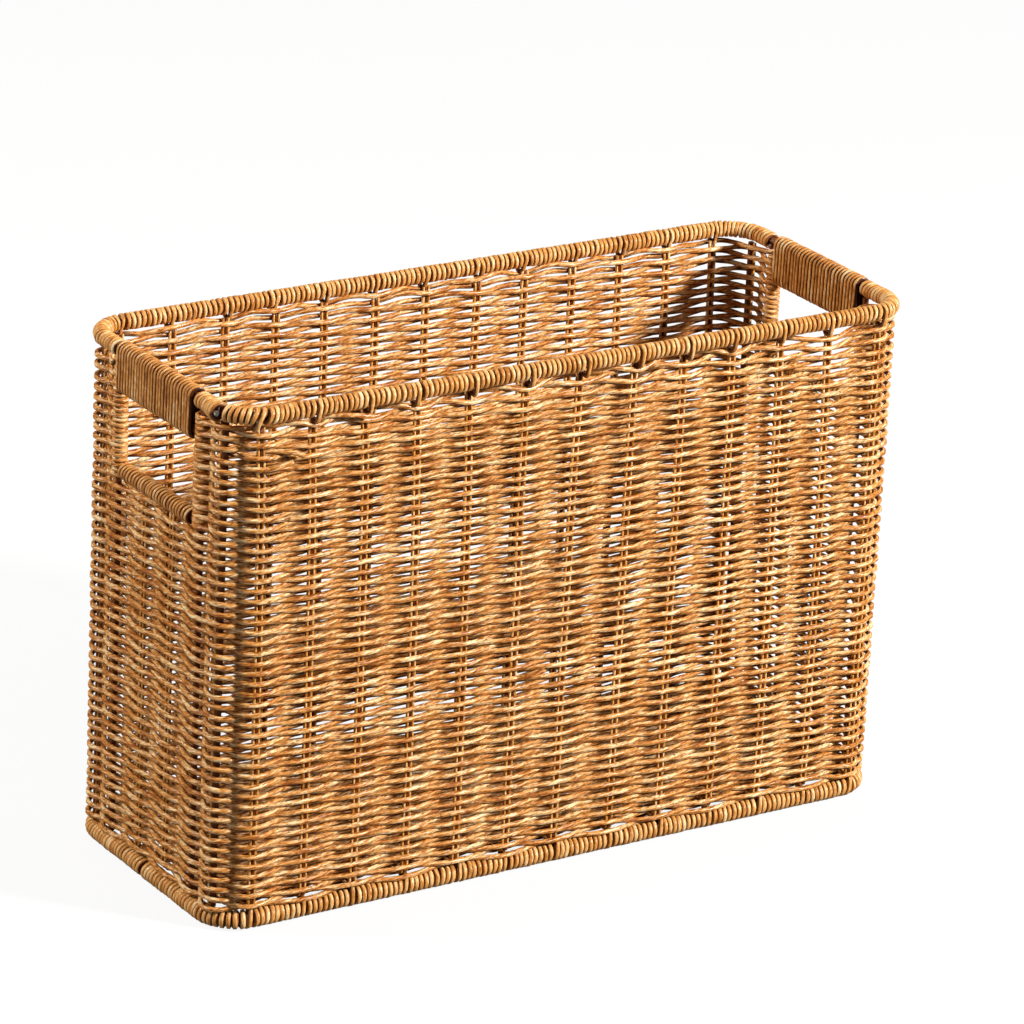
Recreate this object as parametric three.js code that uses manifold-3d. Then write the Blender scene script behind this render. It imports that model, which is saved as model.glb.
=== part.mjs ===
// Magazine basket: a woven wicker box on a steel wire frame, with a wound grip over an opening in each end.
// Millimetres. The origin is at the middle of the underside, +X runs along the length, the front is at -Y
// and +Z is up.

import * as THREE from 'three';
import { mergeVertices } from 'three/addons/utils/BufferGeometryUtils.js';
import Module from 'manifold-3d';

const wasm = await Module();
wasm.setup();

// Overall size, over the wound rim
const LENGTH = 380;
const WIDTH = 150;
const HEIGHT = 260;

// Corner radius of the rim, the walls and the base, each at its own middle line
const CORNER_RADIUS = 18;

// The play between pieces that touch
const CLEARANCE = 0.3;

// How far cuts run past what they cut
const OVERRUN = 5;

// Rim and base: a steel wire ring with a strand wound round it
const RING_WIRE_DIAMETER = 3.6;
const RING_STRAND_DIAMETER = 3;

// The walls' and the base's middle lines lie this far inside the rim's
const WALL_INSET_ENDS = 0.7;
const WALL_INSET_SIDES = 1.7;
const BASE_INSET_SIDES = 2.6;

// Upright wires at the corners and beside the handles
const POST_WIRE_DIAMETER = 3;

// Woven rows. Each strand passes in front of one stake and behind the next, so on the outside of a stake
// every second one shows. The pitch is from one that shows to the next, and the half thicknesses are the
// wall's at such a row and between two of them.
const ROW_PITCH = 5.05;
const ROW_HALF_THICKNESS = 3.5;
const BETWEEN_ROWS_HALF_THICKNESS = 2.5;
const GAP_UNDER_RIM = 1.2;

// Openings between the rows of the long sides: a plain grid with one column between each two stakes, where
// each column takes every second level and its neighbours take the others
const SLOT_HEIGHT = 2;
const SLOT_TO_STAKE_HOLE = 2.2;
const SLOT_LEVELS = 8;

// Stakes: pairs of strands side by side that the rows are woven round
const STAKE_WIDTH = 4.7;
const STAKE_THICKNESS = 1.9;
const CROSS_STAKE_COUNT = 13;
const STAKE_PAST_CORNER_START = 2.7;
const WALL_PAST_STAKE = 4;
const END_STAKE_FOOT = 6;

// Handle opening, with a wound grip above it, a wound sill below it and a wound jamb on each side
const OPENING_WIDTH = 69;
const OPENING_HEIGHT = 34;
const GRIP_HEIGHT = 26;
const GRIP_STRAND_DIAMETER = 2.4;
const SILL_STRAND_DIAMETER = 2.2;
const JAMB_STRAND_DIAMETER = 2.7;
const WINDING_LOOPS = 24;

// Facets
const WIRE_SIDES = 6;
const BORE_SIDES = 6;
const WRAP_SIDES = 8;
const STRAND_SIDES = 5;
const LOOP_CORNERS = 8;
const RING_ARC_STEPS = 4;
const WALL_ARC_STEPS = 2;
const BEND_STEPS = 1;
const GAP_SAMPLES = 4;

// Colours from the photograph
const WEAVE_COLOUR = '#c98b45';
const WRAP_COLOUR = '#d6964e';
const STAKE_COLOUR = '#a86a30';
const STEEL_COLOUR = '#8d8a84';

// How dull the surfaces are, and how metallic the wires
const STRAND_ROUGHNESS = 0.45;
const WIRE_ROUGHNESS = 0.4;
const WIRE_METALNESS = 1;

const QUARTER_TURN = Math.PI / 2;
const HALF_TURN = Math.PI;
const FULL_TURN = 2 * Math.PI;

// Sizes that follow from the ones above
const ringRadius = RING_WIRE_DIAMETER / 2 + RING_STRAND_DIAMETER;
const ringBoreRadius = RING_WIRE_DIAMETER / 2 + CLEARANCE;
const postRadius = POST_WIRE_DIAMETER / 2;
const postBoreRadius = postRadius + CLEARANCE;
const rimZ = HEIGHT - ringRadius;
const baseZ = ringRadius;
const postBottom = 2 * ringRadius + CLEARANCE;
const postTop = HEIGHT - 2 * ringRadius - CLEARANCE;

const wallBottom = 2 * ringRadius + STAKE_THICKNESS + 2 * CLEARANCE;
const wallTop = HEIGHT - 2 * ringRadius - GAP_UNDER_RIM;
const rowCount = Math.round((wallTop - wallBottom) / ROW_PITCH);
const rowPitch = (wallTop - wallBottom) / rowCount;
const crossZ = 2 * ringRadius + CLEARANCE + STAKE_THICKNESS / 2;
const stakeBend = STAKE_THICKNESS / 2 + CLEARANCE;

const jambRadius = postRadius + CLEARANCE + JAMB_STRAND_DIAMETER;
const postY = OPENING_WIDTH / 2 + jambRadius;
const gripRadius = RING_WIRE_DIAMETER / 2 + CLEARANCE + GRIP_STRAND_DIAMETER;
const sillRadius = RING_WIRE_DIAMETER / 2 + CLEARANCE + SILL_STRAND_DIAMETER;
const openingTop = HEIGHT - GRIP_HEIGHT;
const openingBottom = openingTop - OPENING_HEIGHT;
const gripBarZ = openingTop + gripRadius;
const sillZ = openingBottom - sillRadius;
const gripHalfLength = postY - postRadius - CLEARANCE;
const sillHalfLength = OPENING_WIDTH / 2 - CLEARANCE;
const endWallTop = sillZ - sillRadius - CLEARANCE;
const wallCornerEnd = postY + jambRadius + CLEARANCE;

// A rounded rectangle seen from above, walked from the middle of the front towards +X
class PlanLoop {
	constructor(halfLength, halfWidth, radius) {
		this.halfLength = halfLength;
		this.halfWidth = halfWidth;
		this.radius = radius;
		this.arcStart = halfLength - radius;
		this.arcEnd = this.arcStart + QUARTER_TURN * radius;
		this.endMiddle = this.arcEnd + halfWidth - radius;
	}

	// The place and direction after a walk, which is negative towards -X
	at(walk) {
		const side = walk < 0 ? -1 : 1;
		const along = Math.abs(walk);
		if (along <= this.arcStart) {
			return { x: walk, y: -this.halfWidth, tx: 1, ty: 0 };
		}
		if (along <= this.arcEnd) {
			const turn = (along - this.arcStart) / this.radius;
			const x = this.arcStart + this.radius * Math.sin(turn);
			const y = this.radius - this.halfWidth - this.radius * Math.cos(turn);
			return { x: side * x, y, tx: Math.cos(turn), ty: side * Math.sin(turn) };
		}
		return { x: side * this.halfLength, y: along - this.endMiddle, tx: 0, ty: side };
	}

	// The walk to a place on an end, at a distance from the end's middle towards the front
	walkToEnd(fromMiddle) {
		return this.endMiddle - fromMiddle;
	}

	// Walks at which a sweep along this loop needs a section
	stations(from, to, arcSteps) {
		const walks = [from];
		for (const side of [-1, 1]) {
			for (let step = 0; step <= arcSteps; step++) {
				const share = side < 0 ? 1 - step / arcSteps : step / arcSteps;
				const walk = side * (this.arcStart + share * (this.arcEnd - this.arcStart));
				if (walk > from && walk < to) {
					walks.push(walk);
				}
			}
		}
		walks.push(to);
		return walks;
	}
}

// A path given by its stations, so that an extrusion puts one section at each
class StationPath extends THREE.Curve {
	constructor(points, tangents) {
		super();
		this.points = points;
		this.tangents = tangents;
	}

	getPoint(t, target = new THREE.Vector3()) {
		return target.copy(this.points[Math.round(t * (this.points.length - 1))]);
	}

	getPointAt(u, target) {
		return this.getPoint(u, target);
	}

	getTangentAt(u, target = new THREE.Vector3()) {
		return target.copy(this.tangents[Math.round(u * (this.points.length - 1))]);
	}
}

const rimLoop = new PlanLoop(LENGTH / 2 - ringRadius, WIDTH / 2 - ringRadius, CORNER_RADIUS);
const baseLoop = new PlanLoop(rimLoop.halfLength, rimLoop.halfWidth - BASE_INSET_SIDES, CORNER_RADIUS);
const wallLoop = new PlanLoop(
	rimLoop.halfLength - WALL_INSET_ENDS,
	rimLoop.halfWidth - WALL_INSET_SIDES,
	CORNER_RADIUS,
);

const outerStakeX = wallLoop.arcStart + STAKE_PAST_CORNER_START;
const cornerPostWalk = (outerStakeX + wallLoop.walkToEnd(postY)) / 2;
const frontWallEnd = outerStakeX + WALL_PAST_STAKE;

// Solids and cuts

function toSolid(geometry) {
	const bare = geometry.clone();
	bare.deleteAttribute('normal');
	bare.deleteAttribute('uv');
	const merged = mergeVertices(bare);
	return new wasm.Manifold(new wasm.Mesh({
		numProp: 3,
		vertProperties: new Float32Array(merged.attributes.position.array),
		triVerts: new Uint32Array(merged.index.array),
	}));
}

function toGeometry(solid) {
	const mesh = solid.getMesh();
	const geometry = new THREE.BufferGeometry();
	geometry.setAttribute('position', new THREE.BufferAttribute(mesh.vertProperties, 3));
	geometry.setIndex(new THREE.BufferAttribute(mesh.triVerts, 1));
	geometry.computeVertexNormals();
	return geometry;
}

function cut(geometry, cutters) {
	let solid = toSolid(geometry);
	for (const cutter of cutters) {
		solid = solid.subtract(toSolid(cutter));
	}
	return toGeometry(solid);
}

// Shapes

// A regular polygon whose flats, not its corners, lie at the radius
function polygonAround(PathClass, radius, sides) {
	const outline = new PathClass();
	const cornerRadius = radius / Math.cos(HALF_TURN / sides);
	for (let corner = 0; corner < sides; corner++) {
		const angle = (corner + 1 / 2) * FULL_TURN / sides;
		const x = cornerRadius * Math.cos(angle);
		const y = cornerRadius * Math.sin(angle);
		if (corner === 0) {
			outline.moveTo(x, y);
		} else {
			outline.lineTo(x, y);
		}
	}
	outline.closePath();
	return outline;
}

// The section of a winding drawn as a plain sleeve, with its bore
function sleeveSection(radius, boreRadius) {
	const section = polygonAround(THREE.Shape, radius, WRAP_SIDES);
	section.holes.push(polygonAround(THREE.Path, boreRadius, BORE_SIDES));
	return section;
}

function flatPath(loop, from, to, z, arcSteps) {
	const places = loop.stations(from, to, arcSteps).map((walk) => loop.at(walk));
	return new StationPath(
		places.map((place) => new THREE.Vector3(place.x, place.y, z)),
		places.map((place) => new THREE.Vector3(place.tx, place.ty, 0)),
	);
}

function extrudeAlong(section, path) {
	return new THREE.ExtrudeGeometry(section, { steps: path.points.length - 1, extrudePath: path });
}

// A closed wire ring that follows a loop
function ringTube(loop, z, diameter) {
	const corners = [];
	for (const quarter of [0, 1, 2, 3]) {
		const angleStart = quarter * QUARTER_TURN;
		const sx = quarter === 0 || quarter === 3 ? 1 : -1;
		const sy = quarter < 2 ? 1 : -1;
		for (let step = 0; step <= RING_ARC_STEPS; step++) {
			const angle = angleStart + QUARTER_TURN * step / RING_ARC_STEPS;
			const centreX = sx * (loop.halfLength - loop.radius);
			const centreY = sy * (loop.halfWidth - loop.radius);
			corners.push({ centreX, centreY, angle });
		}
	}
	const positions = [];
	const triangles = [];
	corners.forEach(({ centreX, centreY, angle }, station) => {
		for (let side = 0; side < WIRE_SIDES; side++) {
			const around = side * FULL_TURN / WIRE_SIDES;
			const out = loop.radius + diameter / 2 * Math.cos(around);
			const up = diameter / 2 * Math.sin(around);
			positions.push(centreX + out * Math.cos(angle), centreY + out * Math.sin(angle), z + up);
			const next = (station + 1) % corners.length;
			const nextSide = (side + 1) % WIRE_SIDES;
			const here = station * WIRE_SIDES;
			const there = next * WIRE_SIDES;
			triangles.push(here + side, there + side, there + nextSide);
			triangles.push(here + side, there + nextSide, here + nextSide);
		}
	});
	return indexedGeometry(positions, triangles);
}

function indexedGeometry(positions, triangles) {
	const geometry = new THREE.BufferGeometry();
	geometry.setAttribute('position', new THREE.Float32BufferAttribute(positions, 3));
	geometry.setIndex(triangles);
	geometry.computeVertexNormals();
	return geometry;
}

function uprightWire(x, y, bottom, top, diameter, sides) {
	const geometry = new THREE.CylinderGeometry(diameter / 2, diameter / 2, top - bottom, sides);
	geometry.rotateX(QUARTER_TURN);
	geometry.translate(x, y, (bottom + top) / 2);
	return geometry;
}

function crosswiseWire(x, z, halfLength, diameter, sides) {
	const geometry = new THREE.CylinderGeometry(diameter / 2, diameter / 2, 2 * halfLength, sides);
	geometry.translate(x, 0, z);
	return geometry;
}

function boxBetween(low, high) {
	const size = high.clone().sub(low);
	const geometry = new THREE.BoxGeometry(size.x, size.y, size.z);
	const middle = low.clone().add(high).multiplyScalar(1 / 2);
	geometry.translate(middle.x, middle.y, middle.z);
	return geometry;
}

// The hole for a stake that stands across X or across Y
function stakeChannel(x, y, width, thickness, bottom, top) {
	return boxBetween(
		new THREE.Vector3(x - width / 2 - CLEARANCE, y - thickness / 2 - CLEARANCE, bottom),
		new THREE.Vector3(x + width / 2 + CLEARANCE, y + thickness / 2 + CLEARANCE, top),
	);
}

// Woven walls: ribbed outside, one rib to each strand that shows, and plain inside

function wallSection(top) {
	const outline = [[BETWEEN_ROWS_HALF_THICKNESS, wallBottom]];
	for (let row = 0; row < rowCount; row++) {
		const rowTop = wallBottom + (row + 1) * rowPitch;
		if (rowTop <= top + CLEARANCE) {
			outline.push([ROW_HALF_THICKNESS, rowTop - rowPitch / 2]);
			outline.push([BETWEEN_ROWS_HALF_THICKNESS, Math.min(rowTop, top)]);
		}
	}
	const lastTop = outline[outline.length - 1][1];
	if (lastTop < top) {
		outline.push([BETWEEN_ROWS_HALF_THICKNESS, top]);
	}
	outline.push([-ROW_HALF_THICKNESS, top]);
	outline.push([-ROW_HALF_THICKNESS, wallBottom]);
	return new THREE.Shape(outline.map(([outward, z]) => new THREE.Vector2(-z, -outward)));
}

function frontWeave() {
	const path = flatPath(wallLoop, -frontWallEnd, frontWallEnd, 0, WALL_ARC_STEPS);
	const channels = crossStakePlaces().map((x) => stakeChannel(
		x, -wallLoop.halfWidth, STAKE_WIDTH, STAKE_THICKNESS, wallBottom - OVERRUN, wallTop + OVERRUN,
	));
	return cut(extrudeAlong(wallSection(wallTop), path), [...channels, ...slots()]);
}

// The openings of a long side, each through the upper half of a rib
function slots() {
	const stakes = crossStakePlaces();
	const fromStake = STAKE_WIDTH / 2 + CLEARANCE + SLOT_TO_STAKE_HOLE;
	const halfDepth = ROW_HALF_THICKNESS + OVERRUN;
	const cutters = [];
	for (let level = 0; level < SLOT_LEVELS; level++) {
		const row = Math.floor((level + 1 / 2) * rowCount / SLOT_LEVELS);
		const middleZ = wallBottom + (row + 3 / 4) * rowPitch;
		for (let bay = 1 + level % 2; bay < stakes.length; bay += 2) {
			cutters.push(boxBetween(
				new THREE.Vector3(
					stakes[bay - 1] + fromStake, -wallLoop.halfWidth - halfDepth, middleZ - SLOT_HEIGHT / 2,
				),
				new THREE.Vector3(
					stakes[bay] - fromStake, halfDepth - wallLoop.halfWidth, middleZ + SLOT_HEIGHT / 2,
				),
			));
		}
	}
	return cutters;
}

// The corner beside the front wall, towards +X or -X
function cornerWeave(side) {
	const walks = [
		frontWallEnd + CLEARANCE,
		(frontWallEnd + cornerPostWalk) / 2,
		cornerPostWalk,
		wallLoop.walkToEnd(wallCornerEnd),
	];
	const places = (side < 0 ? walks.map((walk) => -walk).reverse() : walks).map((walk) => wallLoop.at(walk));
	const path = new StationPath(
		places.map((place) => new THREE.Vector3(place.x, place.y, 0)),
		places.map((place) => new THREE.Vector3(place.tx, place.ty, 0)),
	);
	const post = wallLoop.at(side * cornerPostWalk);
	const bore = uprightWire(
		post.x, post.y, wallBottom - OVERRUN, wallTop + OVERRUN, 2 * postBoreRadius, BORE_SIDES,
	);
	return cut(extrudeAlong(wallSection(wallTop), path), [bore]);
}

function leftEndWeave() {
	const middle = -wallLoop.endMiddle;
	const half = wallCornerEnd - CLEARANCE;
	const places = [middle - half, middle + half];
	const path = new StationPath(
		places.map((walk) => new THREE.Vector3(-wallLoop.halfLength, middle - walk, 0)),
		places.map(() => new THREE.Vector3(0, -1, 0)),
	);
	const cutters = endStakePlaces().map((y) => stakeChannel(
		-wallLoop.halfLength, y, STAKE_THICKNESS, STAKE_WIDTH, wallBottom - OVERRUN, endWallTop + OVERRUN,
	));
	for (const y of [-postY, postY]) {
		cutters.push(uprightWire(
			-wallLoop.halfLength, y, wallBottom - OVERRUN, endWallTop + OVERRUN, 2 * postBoreRadius, BORE_SIDES,
		));
	}
	return cut(extrudeAlong(wallSection(endWallTop), path), cutters);
}

// The bottom: rows along the length, woven round the cross stakes, inside the base ring
function bottomWeave() {
	const halfLength = baseLoop.halfLength - ringRadius - CLEARANCE;
	const halfWidth = baseLoop.halfWidth - ringRadius - CLEARANCE;
	const rows = Math.round(2 * halfWidth / ROW_PITCH);
	const pitch = 2 * halfWidth / rows;
	const above = [];
	const below = [];
	for (let row = 0; row < rows; row++) {
		const start = row * pitch - halfWidth;
		above.push([start, BETWEEN_ROWS_HALF_THICKNESS], [start + pitch / 2, ROW_HALF_THICKNESS]);
		below.push([start, -BETWEEN_ROWS_HALF_THICKNESS], [start + pitch / 2, -ROW_HALF_THICKNESS]);
	}
	above.push([halfWidth, BETWEEN_ROWS_HALF_THICKNESS]);
	below.push([halfWidth, -BETWEEN_ROWS_HALF_THICKNESS]);
	const outline = [...above, ...below.reverse()];
	const section = new THREE.Shape(outline.map(([y, z]) => new THREE.Vector2(-crossZ - z, y)));
	const alongLength = new THREE.Vector3(1, 0, 0);
	const path = new StationPath(
		[new THREE.Vector3(-halfLength, 0, 0), new THREE.Vector3(halfLength, 0, 0)],
		[alongLength, alongLength],
	);
	const plan = new PlanLoop(halfLength, halfWidth, CORNER_RADIUS - ringRadius - CLEARANCE);
	const trimmed = toSolid(extrudeAlong(section, path)).intersect(toSolid(planPlate(plan)));
	const cutters = crossStakePlaces().map((x) => boxBetween(
		new THREE.Vector3(x - STAKE_WIDTH / 2 - CLEARANCE, -halfWidth - OVERRUN, crossZ - stakeBend),
		new THREE.Vector3(x + STAKE_WIDTH / 2 + CLEARANCE, halfWidth + OVERRUN, crossZ + stakeBend),
	));
	for (const end of [-1, 1]) {
		const inside = end * (halfLength - END_STAKE_FOOT - CLEARANCE);
		const outside = end * (halfLength + OVERRUN);
		for (const y of endStakePlaces()) {
			const half = STAKE_WIDTH / 2 + CLEARANCE;
			cutters.push(boxBetween(
				new THREE.Vector3(Math.min(inside, outside), y - half, crossZ - stakeBend),
				new THREE.Vector3(Math.max(inside, outside), y + half, crossZ + stakeBend),
			));
		}
	}
	return cut(toGeometry(trimmed), cutters);
}

// A plate with the plan of a loop, thick enough to trim the bottom
function planPlate(loop) {
	const outline = new THREE.Shape();
	const x = loop.halfLength - loop.radius;
	const y = loop.halfWidth - loop.radius;
	outline.absarc(x, y, loop.radius, 0, QUARTER_TURN, false);
	outline.absarc(-x, y, loop.radius, QUARTER_TURN, HALF_TURN, false);
	outline.absarc(-x, -y, loop.radius, HALF_TURN, HALF_TURN + QUARTER_TURN, false);
	outline.absarc(x, -y, loop.radius, HALF_TURN + QUARTER_TURN, FULL_TURN, false);
	outline.closePath();
	const plate = new THREE.ExtrudeGeometry(outline, {
		depth: 2 * (ROW_HALF_THICKNESS + OVERRUN),
		bevelEnabled: false,
		curveSegments: RING_ARC_STEPS,
	});
	plate.translate(0, 0, crossZ - ROW_HALF_THICKNESS - OVERRUN);
	return plate;
}

// Stakes

function crossStakePlaces() {
	const pitch = 2 * outerStakeX / (CROSS_STAKE_COUNT - 1);
	return Array.from({ length: CROSS_STAKE_COUNT }, (unused, index) => index * pitch - outerStakeX);
}

// Two stakes stand evenly between the handle posts
function endStakePlaces() {
	const thirdOfSpan = 2 * postY / 3;
	return [-thirdOfSpan / 2, thirdOfSpan / 2];
}

// Stations of a quarter bend in a plane that holds the vertical
function bendStations(centre, inward, fromDown) {
	const points = [];
	const tangents = [];
	for (let step = 0; step <= BEND_STEPS; step++) {
		const turn = QUARTER_TURN * (fromDown ? step : BEND_STEPS - step) / BEND_STEPS;
		const point = centre.clone();
		point.addScaledVector(inward, -stakeBend * Math.cos(turn));
		point.z -= stakeBend * Math.sin(turn);
		const tangent = inward.clone().multiplyScalar(Math.sin(turn));
		tangent.z = -Math.cos(turn);
		points.push(point);
		tangents.push(fromDown ? tangent : new THREE.Vector3(-tangent.x, -tangent.y, -tangent.z));
	}
	return { points, tangents };
}

// The flat section of a stake pair, its thickness first
function stakeSection() {
	const x = STAKE_THICKNESS / 2;
	const y = STAKE_WIDTH / 2;
	return new THREE.Shape([
		new THREE.Vector2(-x, -y),
		new THREE.Vector2(x, -y),
		new THREE.Vector2(x, y),
		new THREE.Vector2(-x, y),
	]);
}

// Down the front, across the bottom and up the back in one piece
function crossStake(x) {
	const y = wallLoop.halfWidth;
	const inward = new THREE.Vector3(0, 1, 0);
	const front = bendStations(new THREE.Vector3(x, stakeBend - y, crossZ + stakeBend), inward, true);
	const back = bendStations(
		new THREE.Vector3(x, y - stakeBend, crossZ + stakeBend), inward.clone().negate(), false,
	);
	const down = new THREE.Vector3(0, 0, -1);
	const path = new StationPath(
		[new THREE.Vector3(x, -y, postTop), ...front.points, ...back.points, new THREE.Vector3(x, y, postTop)],
		[down, ...front.tangents, ...back.tangents, down.clone().negate()],
	);
	return extrudeAlong(stakeSection(), path);
}

// Down the left end, with a foot that lies on the base ring and enters the bottom
function leftEndStake(y) {
	const x = -wallLoop.halfLength;
	const inward = new THREE.Vector3(1, 0, 0);
	const bend = bendStations(new THREE.Vector3(x + stakeBend, y, crossZ + stakeBend), inward, true);
	const footEnd = -(baseLoop.halfLength - ringRadius - CLEARANCE - END_STAKE_FOOT);
	const path = new StationPath(
		[new THREE.Vector3(x, y, endWallTop), ...bend.points, new THREE.Vector3(footEnd, y, crossZ)],
		[new THREE.Vector3(0, 0, -1), ...bend.tangents, inward],
	);
	const section = stakeSection();
	const turned = new THREE.Shape(section.getPoints().map((point) => new THREE.Vector2(point.y, point.x)));
	return extrudeAlong(turned, path);
}

// Windings

// A strand along a path, its sections square to the bisectors
function strandTube(points, diameter) {
	const positions = [];
	const triangles = [];
	const last = points.length - 1;
	const directions = points.slice(1).map((point, index) => point.clone().sub(points[index]).normalize());
	let across = null;
	let before = null;
	points.forEach((point, index) => {
		const tangent = directions[Math.max(index - 1, 0)].clone();
		tangent.add(directions[Math.min(index, last - 1)]).normalize();
		if (across === null) {
			across = new THREE.Vector3(0, 0, 1).cross(tangent).normalize();
		} else {
			across.applyQuaternion(new THREE.Quaternion().setFromUnitVectors(before, tangent));
		}
		before = tangent;
		const other = new THREE.Vector3().crossVectors(tangent, across);
		for (let side = 0; side < STRAND_SIDES; side++) {
			const around = side * FULL_TURN / STRAND_SIDES;
			const corner = point.clone();
			corner.addScaledVector(across, diameter / 2 * Math.cos(around));
			corner.addScaledVector(other, diameter / 2 * Math.sin(around));
			positions.push(corner.x, corner.y, corner.z);
		}
		if (index < last) {
			for (let side = 0; side < STRAND_SIDES; side++) {
				const here = index * STRAND_SIDES;
				const there = here + STRAND_SIDES;
				const next = (side + 1) % STRAND_SIDES;
				triangles.push(here + side, here + next, there + next);
				triangles.push(here + side, there + next, there + side);
			}
		}
	});
	for (let side = 1; side < STRAND_SIDES - 1; side++) {
		const end = last * STRAND_SIDES;
		triangles.push(0, side + 1, side);
		triangles.push(end, end + side, end + side + 1);
	}
	return indexedGeometry(positions, triangles);
}

// One strand wound along Y round a wire, or round two with one above the other
function windingPoints(x, lowZ, highZ, apothem, strand, halfLength) {
	const pitch = 2 * (halfLength - strand) / WINDING_LOOPS;
	const cornerRadius = apothem / Math.cos(HALF_TURN / LOOP_CORNERS);
	const points = [];
	const stations = WINDING_LOOPS * LOOP_CORNERS;
	for (let station = 0; station <= stations; station++) {
		const angle = (station + 1 / 2) * FULL_TURN / LOOP_CORNERS;
		const upper = Math.sin(angle) > 0;
		points.push(new THREE.Vector3(
			x + cornerRadius * Math.cos(angle),
			strand - halfLength + pitch * station / LOOP_CORNERS,
			(upper ? highZ : lowZ) + cornerRadius * Math.sin(angle),
		));
	}
	const first = points[0].clone();
	first.y = -halfLength;
	const final = points[stations].clone();
	final.y = halfLength;
	return [first, ...points, final];
}

// The least gap between a winding's neighbouring loops, measured on points along it
function leastGap(points, strand) {
	const samples = [];
	for (let index = 0; index < points.length - 1; index++) {
		for (let step = 0; step < GAP_SAMPLES; step++) {
			samples.push(points[index].clone().lerp(points[index + 1], step / GAP_SAMPLES));
		}
	}
	const apart = LOOP_CORNERS * GAP_SAMPLES / 2;
	let least = Infinity;
	for (let one = 0; one < samples.length; one++) {
		for (let two = one + apart; two < samples.length; two++) {
			least = Math.min(least, samples[one].distanceTo(samples[two]));
		}
	}
	return least - strand;
}

function gripWrap() {
	const apothem = gripRadius - GRIP_STRAND_DIAMETER / 2;
	const points = windingPoints(
		-rimLoop.halfLength, gripBarZ, rimZ, apothem, GRIP_STRAND_DIAMETER, gripHalfLength,
	);
	console.log(`grip winding: least gap to itself ${leastGap(points, GRIP_STRAND_DIAMETER).toFixed(2)} mm`);
	return strandTube(points, GRIP_STRAND_DIAMETER);
}

function sillWrap() {
	const apothem = sillRadius - SILL_STRAND_DIAMETER / 2;
	const points = windingPoints(
		-wallLoop.halfLength, sillZ, sillZ, apothem, SILL_STRAND_DIAMETER, sillHalfLength,
	);
	console.log(`sill winding: least gap to itself ${leastGap(points, SILL_STRAND_DIAMETER).toFixed(2)} mm`);
	return strandTube(points, SILL_STRAND_DIAMETER);
}

// The rim's winding from grip to grip round the front, as a sleeve
function rimWrap() {
	const end = rimLoop.walkToEnd(gripHalfLength + CLEARANCE);
	const path = flatPath(rimLoop, -end, end, rimZ, RING_ARC_STEPS);
	return extrudeAlong(sleeveSection(ringRadius, ringBoreRadius), path);
}

// The base's winding from the middle of one end to the middle of the other, as a sleeve
function baseWrap() {
	const end = baseLoop.walkToEnd(CLEARANCE / 2);
	const path = flatPath(baseLoop, -end, end, baseZ, RING_ARC_STEPS);
	return extrudeAlong(sleeveSection(ringRadius, ringBoreRadius), path);
}

// The winding round a handle post beside the opening, notched for the end of the sill bar
function jambWrap(y) {
	const bottom = endWallTop + CLEARANCE;
	const top = openingTop - CLEARANCE;
	const path = new StationPath(
		[new THREE.Vector3(-wallLoop.halfLength, y, bottom), new THREE.Vector3(-wallLoop.halfLength, y, top)],
		[new THREE.Vector3(0, 0, 1), new THREE.Vector3(0, 0, 1)],
	);
	const sleeve = extrudeAlong(sleeveSection(jambRadius, postBoreRadius), path);
	return cut(sleeve, [crosswiseWire(-wallLoop.halfLength, sillZ, postY, 2 * ringBoreRadius, BORE_SIDES)]);
}

// Assembly

function addPiece(group, name, geometry, colour, roughness, metalness) {
	const material = new THREE.MeshStandardMaterial({ color: colour, roughness, metalness });
	const mesh = new THREE.Mesh(geometry, material);
	mesh.name = name;
	group.add(mesh);
}

function addWire(group, name, geometry) {
	addPiece(group, name, geometry, STEEL_COLOUR, WIRE_ROUGHNESS, WIRE_METALNESS);
}

function addStrand(group, name, geometry, colour) {
	addPiece(group, name, geometry, colour, STRAND_ROUGHNESS, 0);
}

function addFrame(basket) {
	addWire(basket, 'rim_wire', ringTube(rimLoop, rimZ, RING_WIRE_DIAMETER));
	addWire(basket, 'base_wire', ringTube(baseLoop, baseZ, RING_WIRE_DIAMETER));
}

function addCrossStakes(basket) {
	crossStakePlaces().forEach((x, index) => {
		addStrand(basket, `cross_stake_${index + 1}`, crossStake(x), STAKE_COLOUR);
	});
}

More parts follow.
